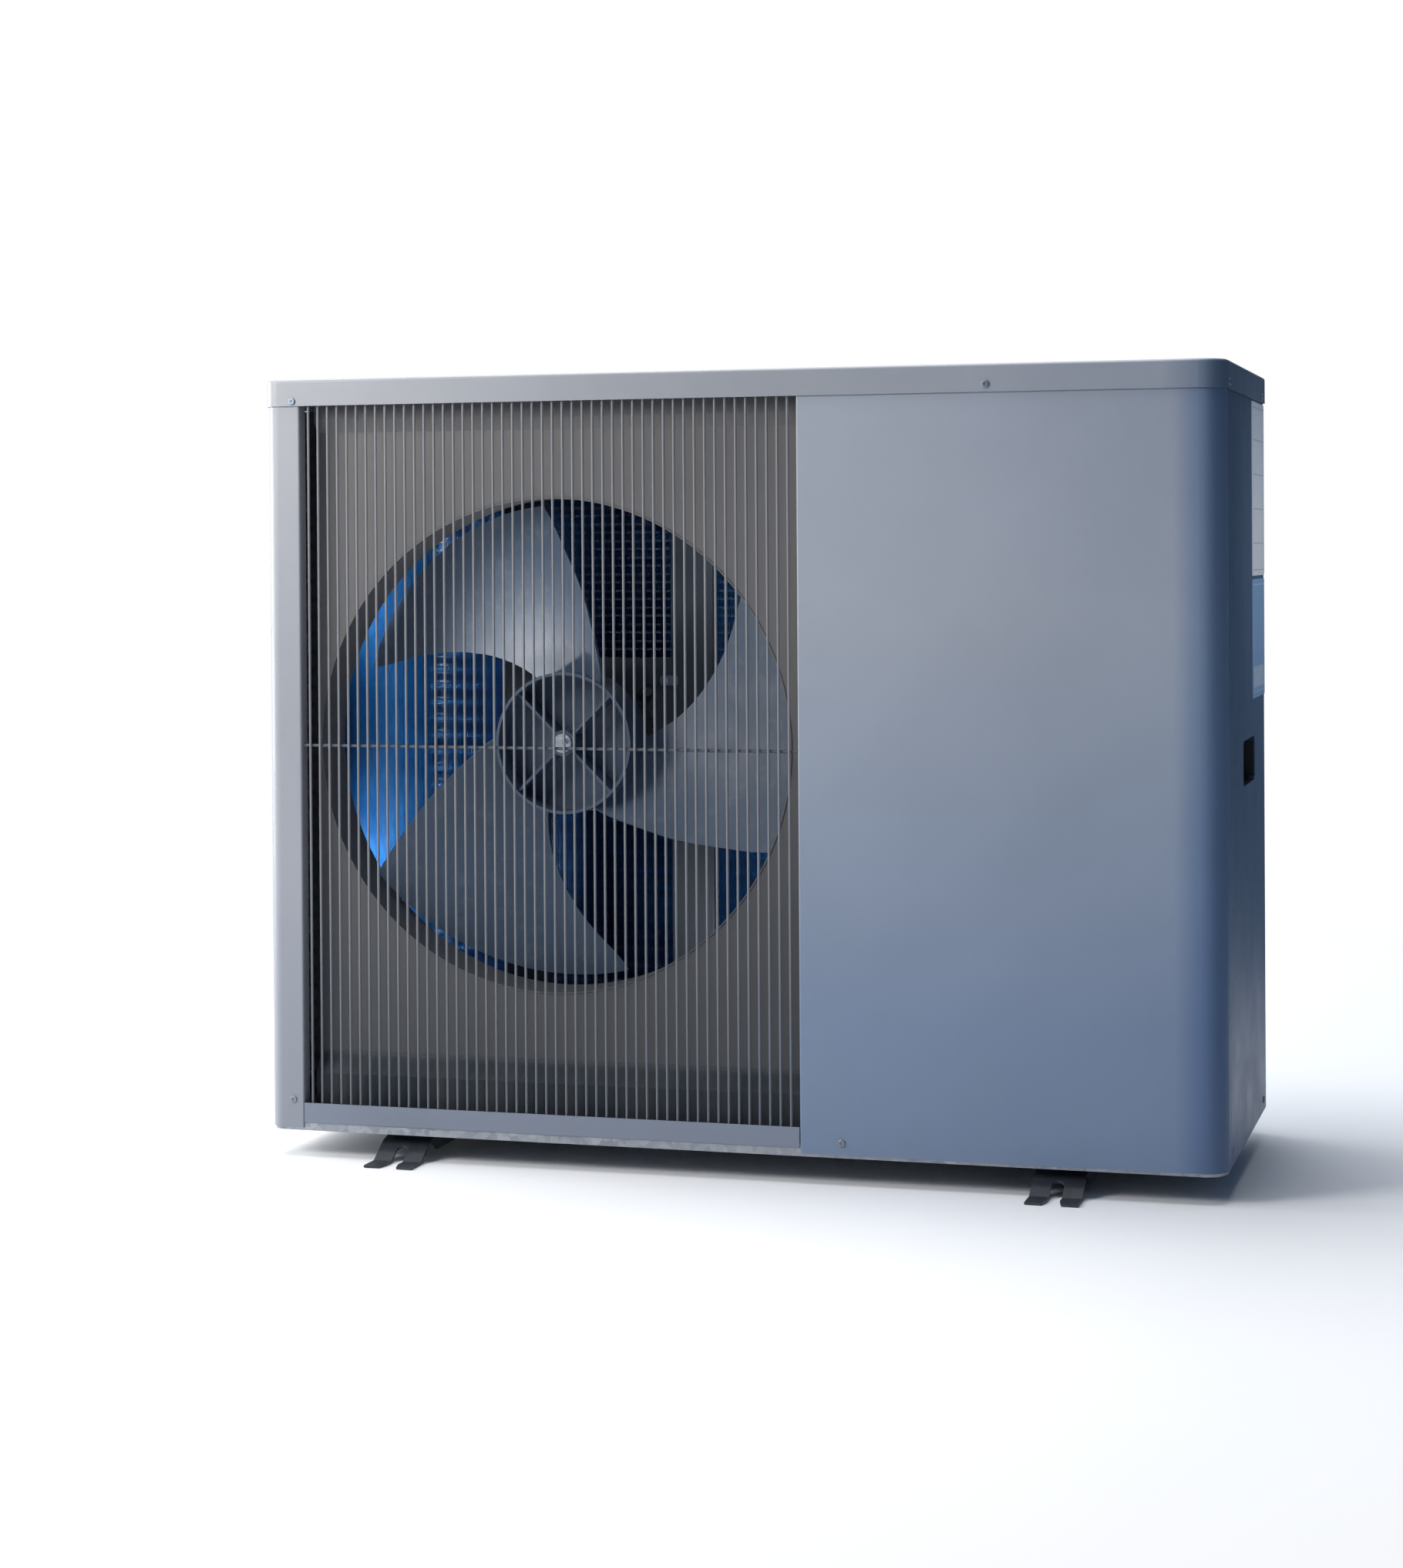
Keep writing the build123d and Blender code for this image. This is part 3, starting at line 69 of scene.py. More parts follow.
# ------------------------------------------------------------------ material helpers
class Mat:
    """Small wrapper for building a node material."""

    def __init__(self, name):
        self.m = bpy.data.materials.new(name)
        self.m.use_nodes = True
        self.nt = self.m.node_tree
        self.b = self.nt.nodes["Principled BSDF"]
        tc = self.nt.nodes.new("ShaderNodeTexCoord")
        self.co = tc.outputs["Object"]

    def n(self, kind, **kw):
        node = self.nt.nodes.new(kind)
        for k, v in kw.items():
            if hasattr(node, k):
                setattr(node, k, v)
            else:
                node.inputs[k].default_value = v
        return node

    def link(self, a, b):
        self.nt.links.new(a, b)

    def noise(self, scale, detail=4.0, rough=0.55, stretch=None, kind="ShaderNodeTexNoise"):
        t = self.n(kind)
        t.inputs["Scale"].default_value = scale
        if "Detail" in t.inputs:
            t.inputs["Detail"].default_value = detail
        if "Roughness" in t.inputs:
            t.inputs["Roughness"].default_value = rough
        if stretch:
            mp = self.n("ShaderNodeMapping")
            mp.inputs["Scale"].default_value = stretch
            self.link(self.co, mp.inputs["Vector"])
            self.link(mp.outputs["Vector"], t.inputs["Vector"])
        else:
            self.link(self.co, t.inputs["Vector"])
        return t.outputs[0]

    def ramp(self, fac, stops):
        c = self.n("ShaderNodeValToRGB")
        el = c.color_ramp.elements
        while len(el) > 1:
            el.remove(el[-1])
        el[0].position, el[0].color = stops[0][0], (*stops[0][1], 1)
        for p, col in stops[1:]:
            e = el.new(p)
            e.color = (*col, 1)
        self.link(fac, c.inputs["Fac"])
        return c.outputs["Color"]

    def mapr(self, fac, a, b, c, e):
        mr = self.n("ShaderNodeMapRange")
        mr.inputs[1].default_value, mr.inputs[2].default_value = a, b
        mr.inputs[3].default_value, mr.inputs[4].default_value = c, e
        self.link(fac, mr.inputs[0])
        return mr.outputs[0]

    def mix(self, fac, a, b, mode="MIX"):
        mx = self.n("ShaderNodeMix")
        mx.data_type = "RGBA"
        mx.blend_type = mode
        for sock, val in ((mx.inputs[0], fac), (mx.inputs[6], a), (mx.inputs[7], b)):
            if hasattr(val, "links"):
                self.link(val, sock)
            elif isinstance(val, (int, float)):
                sock.default_value = val
            else:
                sock.default_value = (*val, 1)
        return mx.outputs[2]

    def math(self, op, a, b=0.0):
        mt = self.n("ShaderNodeMath")
        mt.operation = op
        for sock, val in ((mt.inputs[0], a), (mt.inputs[1], b)):
            if hasattr(val, "links"):
                self.link(val, sock)
            else:
                sock.default_value = val
        return mt.outputs[0]

    def bump(self, height, strength, dist, prev=None):
        bp = self.n("ShaderNodeBump")
        bp.inputs["Strength"].default_value = strength
        bp.inputs["Distance"].default_value = dist
        self.link(height, bp.inputs["Height"])
        if prev is not None:
            self.link(prev, bp.inputs["Normal"])
        return bp.outputs["Normal"]

    def edge(self, radius=0.002, lo=0.02, hi=0.25):
        """1 on the object's edges, 0 on its flats."""
        bv = self.n("ShaderNodeBevel")
        bv.samples = 4
        bv.inputs["Radius"].default_value = radius
        ge = self.n("ShaderNodeNewGeometry")
        dt = self.n("ShaderNodeVectorMath")
        dt.operation = "DOT_PRODUCT"
        self.link(bv.outputs["Normal"], dt.inputs[0])
        self.link(ge.outputs["Normal"], dt.inputs[1])
        inv = self.math("SUBTRACT", 1.0, dt.outputs["Value"])
        return self.mapr(inv, lo, hi, 0.0, 1.0)

    def sep(self):
        s = self.n("ShaderNodeSeparateXYZ")
        self.link(self.co, s.inputs[0])
        return s.outputs

    def out(self, color=None, rough=None, normal=None, metallic=None, spec=None, coat=None, coat_rough=None):
        b = self.b
        if color is not None:
            self.link(color, b.inputs["Base Color"])
        if rough is not None:
            if hasattr(rough, "links"):
                self.link(rough, b.inputs["Roughness"])
            else:
                b.inputs["Roughness"].default_value = rough
        if normal is not None:
            self.link(normal, b.inputs["Normal"])
        if metallic is not None:
            b.inputs["Metallic"].default_value = metallic
        if spec is not None:
            b.inputs["Specular IOR Level"].default_value = spec
        if coat is not None:
            b.inputs["Coat Weight"].default_value = coat
        if coat_rough is not None:
            b.inputs["Coat Roughness"].default_value = coat_rough
        return self.m


def powder(name, base, rough=(0.36, 0.50), peel=0.10, grime=0.35, edge=True, height_shade=None, spec=0.5, across=None, behind=None):
    """Powder-coated sheet: orange-peel bump, faint mottling, speckle, dust low down, rubbed edges; optional painted
    shade as ramps over height and across x, and as darkening of what lies behind a given Y.
    """
    k = Mat(name)
    big = k.noise(3.2, 3.0, 0.5)
    mid = k.noise(26.0, 5.0, 0.6)
    speck = k.noise(1400.0, 2.0, 0.6)
    dark = tuple(c * 0.93 for c in base)
    lite = tuple(min(1, c * 1.05) for c in base)
    c = k.ramp(big, [(0.30, dark), (0.52, base), (0.72, lite)])
    c = k.mix(k.mapr(mid, 0.35, 0.75, 0.0, 0.10), c, tuple(x * 0.80 for x in base))
    c = k.mix(k.mapr(speck, 0.58, 0.72, 0.0, 0.10), c, tuple(min(1, x * 1.35) for x in base))
    z = k.sep()["Z"]
    if height_shade is not None:
        # painted shade by height: the colour is multiplied by a ramp over height, list of (height in m, multiplier)
        zt = k.mapr(z, 0.0, 0.905, 0.0, 1.0)
        c = k.mix(1.0, c, k.ramp(zt, [(h / 0.905, m) for h, m in height_shade]), "MULTIPLY")
    if across is not None:
        # painted shade from left to right, the same way: list of (x in m, multiplier)
        xt = k.mapr(k.sep()["X"], -0.56, 0.56, 0.0, 1.0)
        c = k.mix(1.0, c, k.ramp(xt, [((x + 0.56) / 1.12, m) for x, m in across]), "MULTIPLY")
    if behind is not None:
        # painted shade: what lies deeper than this Y (m), such as wires welded behind, is multiplied darker
        yb = k.math("GREATER_THAN", k.sep()["Y"], behind[0])
        c = k.mix(yb, c, behind[1], "MULTIPLY")
    # dust washed down towards the bottom
    streak = k.noise(30.0, 4.0, 0.6, stretch=(1.0, 1.0, 0.05))
    dz = k.mapr(z, 0.20, 0.03, 0.0, grime)
    g = k.math("MULTIPLY", dz, k.mapr(streak, 0.35, 0.70, 0.15, 1.0))
    c = k.mix(g, c, (0.20, 0.185, 0.165))
    if edge:
        e = k.edge()
        e = k.math("MULTIPLY", e, k.mapr(k.noise(60.0, 5.0, 0.7), 0.48, 0.70, 0.0, 0.30))
        c = k.mix(e, c, tuple(min(1, x * 1.3 + 0.02) for x in base))
    ro = k.mapr(k.noise(14.0, 5.0, 0.6), 0.3, 0.7, rough[0], rough[1])
    n = k.bump(k.noise(620.0, 2.0, 0.5), peel, 0.0006)
    n = k.bump(k.noise(7.0, 2.0, 0.4), 0.05, 0.01, n)
    return k.out(c, ro, n, spec=spec)


def plain_plastic(name, base, rough=(0.38, 0.52), grain=0.15, scale=900.0, wear=True):
    k = Mat(name)
    c = k.ramp(k.noise(9.0, 4.0, 0.6), [(0.3, tuple(x * 0.85 for x in base)), (0.7, tuple(min(1, x * 1.12) for x in base))])
    dust = k.noise(38.0, 6.0, 0.65)
    c = k.mix(k.mapr(dust, 0.52, 0.80, 0.0, 0.22), c, (0.30, 0.29, 0.27))
    if wear:
        e = k.edge(0.0015)
        c = k.mix(k.math("MULTIPLY", e, 0.35), c, tuple(min(1, x * 1.9 + 0.04) for x in base))
    ro = k.mapr(k.noise(30.0, 5.0, 0.6), 0.3, 0.7, rough[0], rough[1])
    n = k.bump(k.noise(scale, 3.0, 0.6), grain, 0.0005)
    return k.out(c, ro, n)


def metal(name, base, rough=(0.25, 0.42), stretch=(1, 1, 1), scale=220.0, bump=0.08, patina=(0.25, 0.22, 0.18), amount=0.25, metallic=1.0):
    k = Mat(name)
    c = k.ramp(k.noise(18.0, 5.0, 0.6), [(0.3, tuple(x * 0.80 for x in base)), (0.7, tuple(min(1, x * 1.08) for x in base))])
    c = k.mix(k.mapr(k.noise(45.0, 6.0, 0.7), 0.5, 0.78, 0.0, amount), c, patina)
    g = k.noise(scale, 4.0, 0.6, stretch=stretch)
    ro = k.mapr(g, 0.3, 0.7, rough[0], rough[1])
    n = k.bump(g, bump, 0.0003)
    return k.out(c, ro, n, metallic=metallic)


def galvanised(name):
    k = Mat(name)
    v = k.n("ShaderNodeTexVoronoi")
    v.inputs["Scale"].default_value = 130.0
    k.link(k.co, v.inputs["Vector"])
    s = k.n("ShaderNodeSeparateColor")
    k.link(v.outputs["Color"], s.inputs[0])
    c = k.ramp(s.outputs[0], [(0.0, (0.24, 0.26, 0.29)), (0.5, (0.29, 0.31, 0.34)), (1.0, (0.35, 0.37, 0.40))])
    c = k.mix(k.mapr(k.noise(12.0, 5.0, 0.65), 0.5, 0.8, 0.0, 0.35), c, (0.42, 0.41, 0.39))
    ro = k.mapr(s.outputs[1], 0.0, 1.0, 0.34, 0.55)
    n = k.bump(k.noise(160.0, 3.0, 0.5), 0.06, 0.0004)
    return k.out(c, ro, n, metallic=0.7)


def fin_stock(name):
    """Blue hydrophilic coated aluminium: fine handling marks, dusty patches."""
    k = Mat(name)
    c = k.ramp(k.noise(22.0, 5.0, 0.65), [(0.25, (0.010, 0.085, 0.27)), (0.55, (0.018, 0.14, 0.40)), (0.8, (0.035, 0.21, 0.52))])
    c = k.mix(k.mapr(k.noise(7.0, 4.0, 0.6), 0.52, 0.8, 0.0, 0.25), c, (0.10, 0.13, 0.17))
    c = k.mix(k.mapr(k.noise(350.0, 3.0, 0.6, stretch=(1, 1, 0.1)), 0.55, 0.8, 0.0, 0.25), c, (0.10, 0.32, 0.62))
    ro = k.mapr(k.noise(60.0, 4.0, 0.6), 0.3, 0.7, 0.28, 0.45)
    n = k.bump(k.noise(500.0, 3.0, 0.6), 0.12, 0.0003)
    return k.out(c, ro, n, metallic=0.35, coat=0.3, coat_rough=0.25)


def label(name, base, line, y0, y1, z0, z1, bands):
    """Blank film label: border rule and empty bands, slight mottling, matt."""
    k = Mat(name)
    s = k.sep()
    c = k.ramp(k.noise(15.0, 4.0, 0.6), [(0.3, tuple(x * 0.94 for x in base)), (0.7, base)])
    # border: distance to the nearest side
    dy = k.math("MINIMUM", k.math("SUBTRACT", s["Y"], y0), k.math("SUBTRACT", y1, s["Y"]))
    dz = k.math("MINIMUM", k.math("SUBTRACT", s["Z"], z0), k.math("SUBTRACT", z1, s["Z"]))
    dd = k.math("MINIMUM", dy, dz)
    inner = k.math("MULTIPLY", k.math("GREATER_THAN", dd, 0.006), k.math("LESS_THAN", dd, 0.0072))
    c = k.mix(k.math("MULTIPLY", inner, 0.7), c, line)
    for zb, hb in bands:
        on = k.math("MULTIPLY", k.math("GREATER_THAN", s["Z"], zb), k.math("LESS_THAN", s["Z"], zb + hb))
        on = k.math("MULTIPLY", on, k.math("GREATER_THAN", dd, 0.012))
        c = k.mix(k.math("MULTIPLY", on, 0.55), c, line)
    ro = k.mapr(k.noise(40.0, 4.0, 0.6), 0.3, 0.7, 0.30, 0.42)
    n = k.bump(k.noise(300.0, 2.0, 0.5), 0.04, 0.0003)
    return k.out(c, ro, n)


M = {}
W = (1.0, 1.0, 1.0)
# casing paint: the height ramp is painted shade, darker and bluer towards the bottom
M["casing_paint"] = powder("casing_paint", (0.350, 0.372, 0.415), rough=(0.36, 0.48), grime=0.12,
                           height_shade=[(0.0, (0.80, 0.86, 0.96)), (0.40, (0.92, 0.95, 0.99)), (0.90, W)])
# service panel paint: the height ramp is painted shade, much darker and bluer low down; the across ramp is painted
# shade towards the right and at the rounded right corner
M["service_paint"] = powder("service_paint", (0.345, 0.372, 0.420), rough=(0.36, 0.48), grime=0.10, spec=0.45,
                            height_shade=[(0.0, (0.42, 0.54, 0.72)), (0.18, (0.50, 0.61, 0.77)), (0.42, (0.78, 0.84, 0.91)), (0.62, (0.98, 0.98, 0.97)), (0.90, W)],
                            across=[(0.05, W), (0.30, (0.98, 0.98, 0.99)), (0.500, (0.93, 0.95, 0.97)), (0.525, (0.50, 0.62, 0.78)), (0.556, (0.40, 0.53, 0.70))])
# right side panel paint: a darker, bluer copy of the casing paint as painted shade, with a painted shade ramp over
# height
M["side_paint_shaded"] = powder("side_paint_shaded", (0.165, 0.222, 0.300), rough=(0.38, 0.50), grime=0.04, spec=0.35,
                         height_shade=[(0.0, (0.30, 0.48, 0.72)), (0.15, (0.45, 0.60, 0.80)), (0.30, (0.60, 0.71, 0.84)), (0.55, (0.52, 0.60, 0.70)), (0.90, (0.55, 0.58, 0.63))])
# lid paint: a darker copy of the casing paint as painted shade; its height ramp is painted shade, and its across ramp
# is painted shade, bluer towards the right end and dark at the rounded right corner
M["lid_paint"] = powder("lid_paint", (0.315, 0.322, 0.338), rough=(0.36, 0.48), grime=0.15,
                        height_shade=[(0.0, (0.70, 0.74, 0.84)), (0.35, (0.92, 0.94, 0.98)), (0.90, W)],
                        across=[(-0.56, W), (0.10, (0.95, 0.97, 1.0)), (0.49, (1.0, 1.04, 1.12)), (0.53, (0.55, 0.68, 0.84)), (0.556, (0.42, 0.54, 0.70))])
M["rail_paint"] = powder("rail_paint", (0.175, 0.205, 0.262), rough=(0.42, 0.54), grime=0.12, spec=0.4)
# grille wire paint: the height ramp is painted shade low down and painted light at the top; the cross wires welded
# behind the rods are multiplied darker and bluer as painted shade
M["grille_paint"] = powder("grille_paint", (0.215, 0.215, 0.222), rough=(0.50, 0.66), peel=0.08, edge=False, grime=0.25, spec=0.35,
                           height_shade=[(0.0, (0.45, 0.52, 0.62)), (0.12, (0.55, 0.62, 0.70)), (0.35, (0.90, 0.92, 0.95)), (0.90, (1.1, 1.1, 1.1))],
                           behind=(-0.2039, (0.42, 0.46, 0.52)))
M["guard_paint"] = powder("guard_paint", (0.10, 0.11, 0.13), rough=(0.40, 0.55), peel=0.08, edge=False, grime=0.25)
# orifice panel paint: the height ramp is painted shade, nearly black below the lower bend at 0.12 m and darker along
# the top band
M["inner_paint"] = powder("inner_paint", (0.205, 0.197, 0.192), rough=(0.52, 0.70), peel=0.12, grime=0.2, spec=0.25,
                          height_shade=[(0.0, (0.06, 0.10, 0.15)), (0.112, (0.07, 0.11, 0.16)), (0.120, (0.38, 0.41, 0.46)), (0.30, (0.54, 0.56, 0.60)), (0.60, (0.92, 0.92, 0.93)), (0.84, W), (0.905, (0.72, 0.75, 0.80))])
M["foot_black"] = powder("foot_black", (0.016, 0.022, 0.032), rough=(0.32, 0.5), peel=0.18, grime=0.12)
M["galvanised"] = galvanised("galvanised")
M["bracket_dark"] = powder("bracket_dark", (0.055, 0.062, 0.075), rough=(0.40, 0.55), peel=0.1, grime=0.2)
M["fastener"] = metal("fastener", (0.26, 0.29, 0.35), rough=(0.42, 0.58), amount=0.35, metallic=0.7)
M["fan_plastic"] = plain_plastic("fan_plastic", (0.056, 0.086, 0.134), rough=(0.42, 0.54), grain=0.10, scale=700.0)
M["motor_paint"] = plain_plastic("motor_paint", (0.020, 0.021, 0.024), rough=(0.30, 0.48), grain=0.3, scale=500.0)
M["iron_core"] = metal("iron_core", (0.16, 0.15, 0.15), rough=(0.45, 0.65), stretch=(0.2, 8, 0.2), amount=0.5)
M["bright_steel"] = metal("bright_steel", (0.86, 0.87, 0.89), rough=(0.26, 0.40), amount=0.05)
M["fin_blue"] = fin_stock("fin_blue")
M["collar_blue"] = metal("collar_blue", (0.10, 0.34, 0.70), rough=(0.25, 0.40), stretch=(1, 1, 1), patina=(0.05, 0.10, 0.20), amount=0.4, metallic=0.4)
M["copper"] = metal("copper", (0.72, 0.33, 0.20), rough=(0.22, 0.40), patina=(0.20, 0.12, 0.09), amount=0.5)
# a near-black copy of the copper as painted shade, for the evaporator bends that sit in the dark gap beside the fan
# panel
M["copper_shaded"] = metal("copper_shaded", (0.13, 0.085, 0.070), rough=(0.50, 0.66), patina=(0.05, 0.055, 0.06), amount=0.7, metallic=0.6)
M["compressor_black"] = plain_plastic("compressor_black", (0.016, 0.016, 0.017), rough=(0.28, 0.44), grain=0.3, scale=420.0)
M["rubber"] = plain_plastic("rubber", (0.018, 0.018, 0.018), rough=(0.65, 0.82), grain=0.25, wear=False)
M["black_plastic"] = plain_plastic("black_plastic", (0.012, 0.013, 0.016), rough=(0.38, 0.56), grain=0.3, scale=1300.0)
M["pvc_grey"] = plain_plastic("pvc_grey", (0.10, 0.105, 0.115), rough=(0.24, 0.40), grain=0.1, scale=300.0)
M["titanium"] = metal("titanium", (0.45, 0.42, 0.38), rough=(0.3, 0.45))
M["board"] = plain_plastic("board", (0.012, 0.085, 0.035), rough=(0.25, 0.4), grain=0.1)
M["component"] = plain_plastic("component", (0.030, 0.030, 0.036), rough=(0.3, 0.5))
M["alu"] = metal("alu", (0.66, 0.67, 0.68), rough=(0.3, 0.45), stretch=(0.1, 1, 8))
lo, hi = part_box("rating_plate")
M["label_white"] = label("label_white", (0.96, 0.965, 0.97), (0.35, 0.40, 0.48), lo[1], hi[1], lo[2], hi[2],
                         [(hi[2] - 0.045, 0.0015), (hi[2] - 0.085, 0.0015), (hi[2] - 0.125, 0.0015), (hi[2] - 0.165, 0.0015)])
lo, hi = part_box("info_label")
M["label_blue"] = label("label_blue", (0.30, 0.47, 0.70), (0.75, 0.80, 0.84), lo[1], hi[1], lo[2], hi[2],
                        [(lo[2] + 0.010, 0.026)])

SLOT = {s["node"]: s["material_slot"] for s in frame["record"]["subparts"]}
for name, ob in nodes.items():
    key = SLOT.get(name, "casing_paint")
    if name in ("bottom_front_rail",):
        key = "rail_paint"
    if name in ("right_side_panel",):
        key = "side_paint_shaded"
    if name in ("front_service_panel",):
        key = "service_paint"
    # the evaporator bends take the near-black copper: painted shade
    if name in ("evaporator_bends",):
        key = "copper_shaded"
    if name in ("motor_screws",):
        key = "bright_steel"
    if name in ("motor_bracket", "coil_end_plates"):
        key = "bracket_dark"
    if name in ("rear_coil_guard", "side_coil_guard"):
        key = "guard_paint"
    for ms in ob.material_slots:
        ms.material = M[key]


# ------------------------------------------------------------------ mesh helpers
def new_object(name, bm, mat, body, smooth=False):
    me = bpy.data.meshes.new(name)
    bm.normal_update()
    bm.to_mesh(me)
    bm.free()
    ob = bpy.data.objects.new(name, me)
    scene.collection.objects.link(ob)
    me.materials.append(mat)
    if smooth:
        for p in me.polygons:
            p.use_smooth = True
    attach(ob, body)
    return ob


def add_box(bm, corners8):
    vs = [bm.verts.new(c) for c in corners8]
    for q in ((0, 3, 2, 1), (4, 5, 6, 7), (0, 1, 5, 4), (1, 2, 6, 5), (2, 3, 7, 6), (3, 0, 4, 7)):
        bm.faces.new([vs[i] for i in q])


def fin(bm, a, b, across, t, z0, z1):
    """Thin fin standing between plan points a and b, thickness t along across, as a plain box."""
    a, b, n = Vector((*a, 0)), Vector((*b, 0)), Vector((*across, 0)) * (t / 2)
    add_box(bm, [(*(a - n).xy, z0), (*(b - n).xy, z0), (*(b + n).xy, z0), (*(a + n).xy, z0),
                 (*(a - n).xy, z1), (*(b - n).xy, z1), (*(b + n).xy, z1), (*(a + n).xy, z1)])


def tube_along(bm, pts, rad, seg=10):
    """Closed round tube through pts (a plan path at one height)."""
    rings = []
    for i, p in enumerate(pts):
        p = Vector(p)
        a = Vector(pts[max(0, i - 1)])
        c = Vector(pts[min(len(pts) - 1, i + 1)])
        t = (c - a).normalized()
        side = t.cross(Vector((0, 0, 1))).normalized()
        rings.append([bm.verts.new(p + side * rad * math.cos(2 * math.pi * j / seg) + Vector((0, 0, rad * math.sin(2 * math.pi * j / seg)))) for j in range(seg)])
    for r0, r1 in zip(rings, rings[1:]):
        for j in range(seg):
            bm.faces.new((r0[j], r0[(j + 1) % seg], r1[(j + 1) % seg], r1[j]))
    bm.faces.new(list(reversed(rings[0])))
    bm.faces.new(rings[-1])


# ------------------------------------------------------------------ evaporator: thin fins on tube rows
bl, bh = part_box("evaporator_fins_back")
sl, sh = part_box("evaporator_fins_side")
cl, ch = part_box("evaporator_fins_corner")
cx, cyy = bl[0], sh[1]                       # centre of the bend
R_OUT, R_IN = bh[1] - cyy, bl[1] - cyy
z0, z1 = bl[2], bh[2]
PITCH, TH = 0.0024, 0.00032

bm = bmesh.new()
x = bl[0] + TH
while x < bh[0] - TH:
    fin(bm, (x, bl[1]), (x, bh[1]), (1, 0), TH, z0, z1)
    x += PITCH
back = new_object("coil_fins_back_fine", bm, M["fin_blue"], "casing")
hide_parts("evaporator_fins_back")

bm = bmesh.new()
y = sl[1] + TH
while y < sh[1] - TH:
    fin(bm, (sl[0], y), (sh[0], y), (0, 1), TH, z0, z1)
    y += PITCH
side = new_object("coil_fins_side_fine", bm, M["fin_blue"], "casing")
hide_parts("evaporator_fins_side")

bm = bmesh.new()
nf = int(math.pi / 2 * (R_OUT + R_IN) / 2 / PITCH)
for i in range(nf):
    a = math.pi / 2 + (i + 0.5) / nf * math.pi / 2
    ca, sa = math.cos(a), math.sin(a)
    fin(bm, (cx + R_IN * ca, cyy + R_IN * sa), (cx + R_OUT * ca, cyy + R_OUT * sa), (-sa, ca), TH, z0, z1)
corner = new_object("coil_fins_corner_fine", bm, M["fin_blue"], "casing")
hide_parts("evaporator_fins_corner")

bm = bmesh.new()
RM = (R_OUT + R_IN) / 2
for rr, dz in ((RM - 0.009, 0.0), (RM + 0.009, 0.0105)):
    for i in range(39):
        z = z0 + 0.009 + dz + 0.021 * i
        pts = [(bh[0], cyy + rr, z), (cx, cyy + rr, z)]
        for j in range(1, 9):
            a = math.pi / 2 * (1 + j / 8)
            pts.append((cx + rr * math.cos(a), cyy + rr * math.sin(a), z))
        pts.append((cx - rr, sl[1], z))
        tube_along(bm, pts, 0.0046, 10)
new_object("coil_tubes_collared", bm, M["collar_blue"], "casing", smooth=True)

# ------------------------------------------------------------------ floor and light
def plane_obj(name, size, z):
    bm = bmesh.new()
    s = size / 2
    vs = [bm.verts.new(c) for c in ((-s, -s, z), (s, -s, z), (s, s, z), (-s, s, z))]
    bm.faces.new(vs)
    me = bpy.data.meshes.new(name)
    bm.to_mesh(me)
    bm.free()
    ob = bpy.data.objects.new(name, me)
    scene.collection.objects.link(ob)
    return ob


floor = plane_obj("floor", 12, -0.0005)
fm = Mat("floor_paper")
fc = fm.ramp(fm.noise(0.6, 3.0, 0.5), [(0.3, (0.77, 0.775, 0.785)), (0.7, (0.80, 0.80, 0.805))])
fm.out(fc, fm.mapr(fm.noise(5.0, 3.0, 0.5), 0.3, 0.7, 0.75, 0.9), spec=0.2)
# the floor fades into the pale surroundings away from the unit
ln = fm.n("ShaderNodeVectorMath")
ln.operation = "LENGTH"
fm.link(fm.co, ln.inputs[0])
fade = fm.mapr(ln.outputs["Value"], 0.85, 2.3, 0.0, 1.0)
tr = fm.n("ShaderNodeBsdfTransparent")
mxs = fm.n("ShaderNodeMixShader")
fm.link(fade, mxs.inputs[0])
fm.link(fm.b.outputs[0], mxs.inputs[1])
fm.link(tr.outputs[0], mxs.inputs[2])
fm.link(mxs.outputs[0], fm.nt.nodes["Material Output"].inputs["Surface"])
floor.data.materials.append(fm.m)

scene.view_settings.view_transform = "Standard"
scene.view_settings.look = "None"

world = bpy.data.worlds.new("studio")
scene.world = world
world.use_nodes = True
wn = world.node_tree
bg = wn.nodes["Background"]
tc = wn.nodes.new("ShaderNodeTexCoord")
sp = wn.nodes.new("ShaderNodeSeparateXYZ")
wn.links.new(tc.outputs["Generated"], sp.inputs[0])


def w_range(sock, a, b, c, e):
    mr = wn.nodes.new("ShaderNodeMapRange")
    mr.inputs[1].default_value, mr.inputs[2].default_value = a, b
    mr.inputs[3].default_value, mr.inputs[4].default_value = c, e
    wn.links.new(sock, mr.inputs[0])
    return mr.outputs[0]


def w_math(op, a, b):
    mt = wn.nodes.new("ShaderNodeMath")
    mt.operation = op
    for sock, v in ((mt.inputs[0], a), (mt.inputs[1], b)):
        if hasattr(v, "links"):
            wn.links.new(v, sock)
        else:
            sock.default_value = v
    return mt.outputs[0]


def w_mix(fac, a, b):
    mx = wn.nodes.new("ShaderNodeMix")
    mx.data_type = "RGBA"
    for sock, v in ((mx.inputs[0], fac), (mx.inputs[6], a), (mx.inputs[7], b)):
        if hasattr(v, "links"):
            wn.links.new(v, sock)
        elif isinstance(v, tuple):
            sock.default_value = (*v, 1)
        else:
            sock.default_value = v
    return mx.outputs[2]


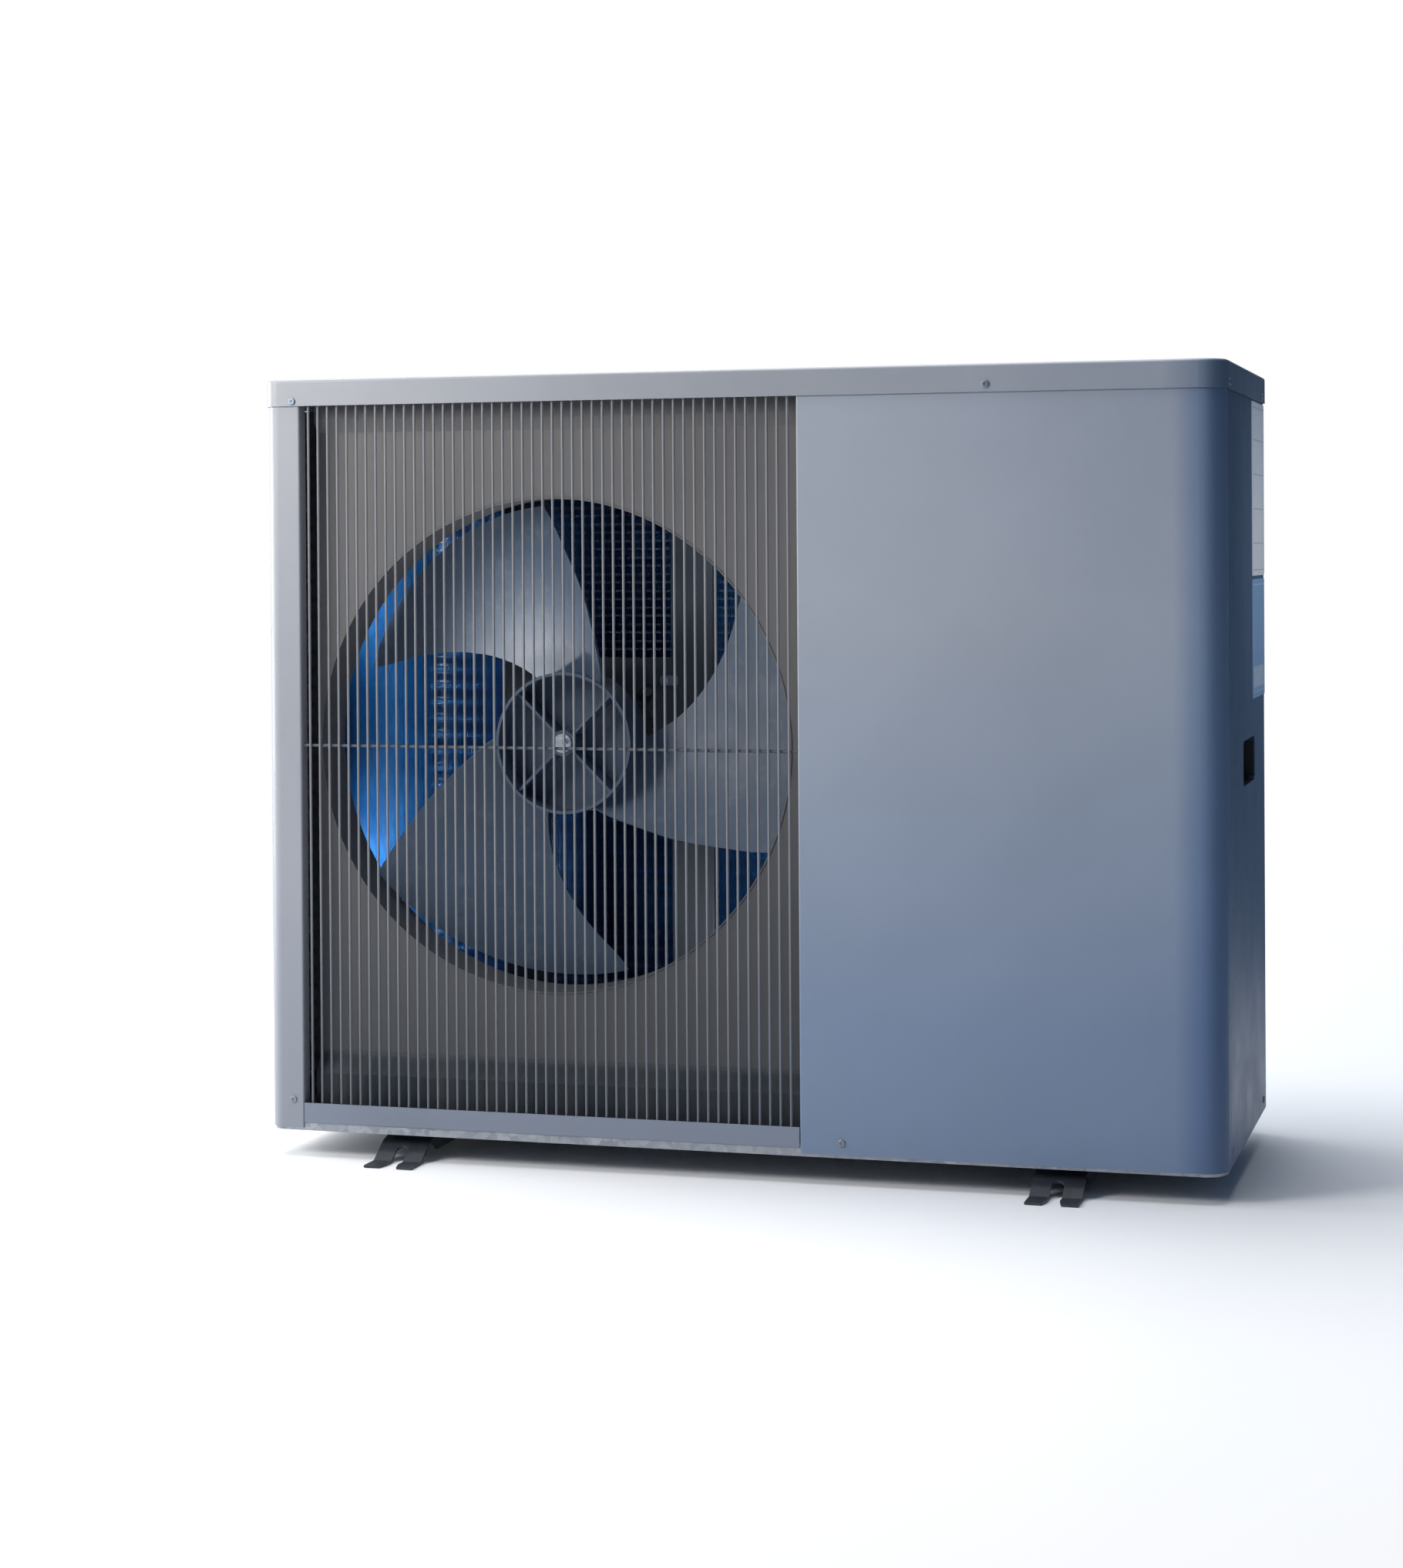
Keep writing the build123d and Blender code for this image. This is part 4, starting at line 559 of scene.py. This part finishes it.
# surroundings: bright to the left and behind, cool and dim in front, dark blue to the right
left = w_range(sp.outputs["X"], 0.10, -0.35, 0.0, 1.0)
behind = w_range(sp.outputs["Y"], -0.25, 0.35, 0.0, 1.0)
front_tone = w_mix(w_range(sp.outputs["X"], 0.5, -0.6, 0.0, 1.0), (0.075, 0.125, 0.220), (0.200, 0.250, 0.330))
back_tone = w_mix(left, (0.045, 0.075, 0.120), (0.90, 0.93, 0.98))
room = w_mix(behind, front_tone, back_tone)
lp = wn.nodes.new("ShaderNodeLightPath")
backdrop = w_mix(lp.outputs["Is Camera Ray"], room, (1.0, 1.0, 1.0))
wn.links.new(backdrop, bg.inputs["Color"])
bg.inputs["Strength"].default_value = 1.0


def area(name, loc, aim, size, power, color=(1, 1, 1), spread=180.0):
    ld = bpy.data.lights.new(name, "AREA")
    ld.shape = "RECTANGLE"
    ld.size, ld.size_y = size
    ld.energy = power
    ld.color = color
    ld.spread = math.radians(spread)
    ob = bpy.data.objects.new(name, ld)
    scene.collection.objects.link(ob)
    ob.visible_camera = False
    ob.location = loc
    ob.rotation_euler = (Vector(aim) - Vector(loc)).to_track_quat("-Z", "Y").to_euler()
    return ob


area("key_left", (-1.55, -1.60, 1.45), (-0.15, -0.2, 0.55), (0.9, 0.9), 43, (1.0, 0.975, 0.945))
area("left_edge", (-2.4, -0.1, 0.8), (-0.5, 0.0, 0.5), (0.5, 1.4), 36, (0.97, 0.99, 1.0))
area("back_glow", (-0.3, 2.2, 1.0), (-0.2, 0.2, 0.5), (1.6, 1.2), 22, (0.85, 0.93, 1.0))
area("side_label", (1.5, -0.15, 1.0), (0.556, 0.137, 0.69), (0.15, 0.15), 0.09, (0.97, 0.98, 1.0), 30.0)
area("overhead", (-0.55, 0.1, 3.2), (-0.35, 0.0, 0.0), (2.1, 3.0), 105, (1.0, 1.0, 1.0))
# daylight that reaches the coil's inner face
area("coil_glow_top", (-0.455, -0.103, 0.695), (-0.505, -0.003, 0.665), (0.05, 0.05), 0.34, (0.80, 0.92, 1.0), 120.0)
area("coil_glow_low", (-0.455, -0.103, 0.265), (-0.505, -0.003, 0.295), (0.05, 0.05), 0.60, (0.80, 0.92, 1.0), 120.0)
area("blade_sheen", (-0.44, -0.180, 0.455), (-0.30, -0.10, 0.60), (0.02, 0.02), 0.075, (1.0, 0.96, 0.92), 56.0)
area("coil_back_top", (0.045, -0.105, 0.800), (-0.02, 0.16, 0.66), (0.05, 0.05), 0.22, (0.80, 0.92, 1.0), 120.0)
area("coil_back_low", (0.045, -0.105, 0.160), (-0.02, 0.16, 0.30), (0.05, 0.05), 0.22, (0.80, 0.92, 1.0), 120.0)

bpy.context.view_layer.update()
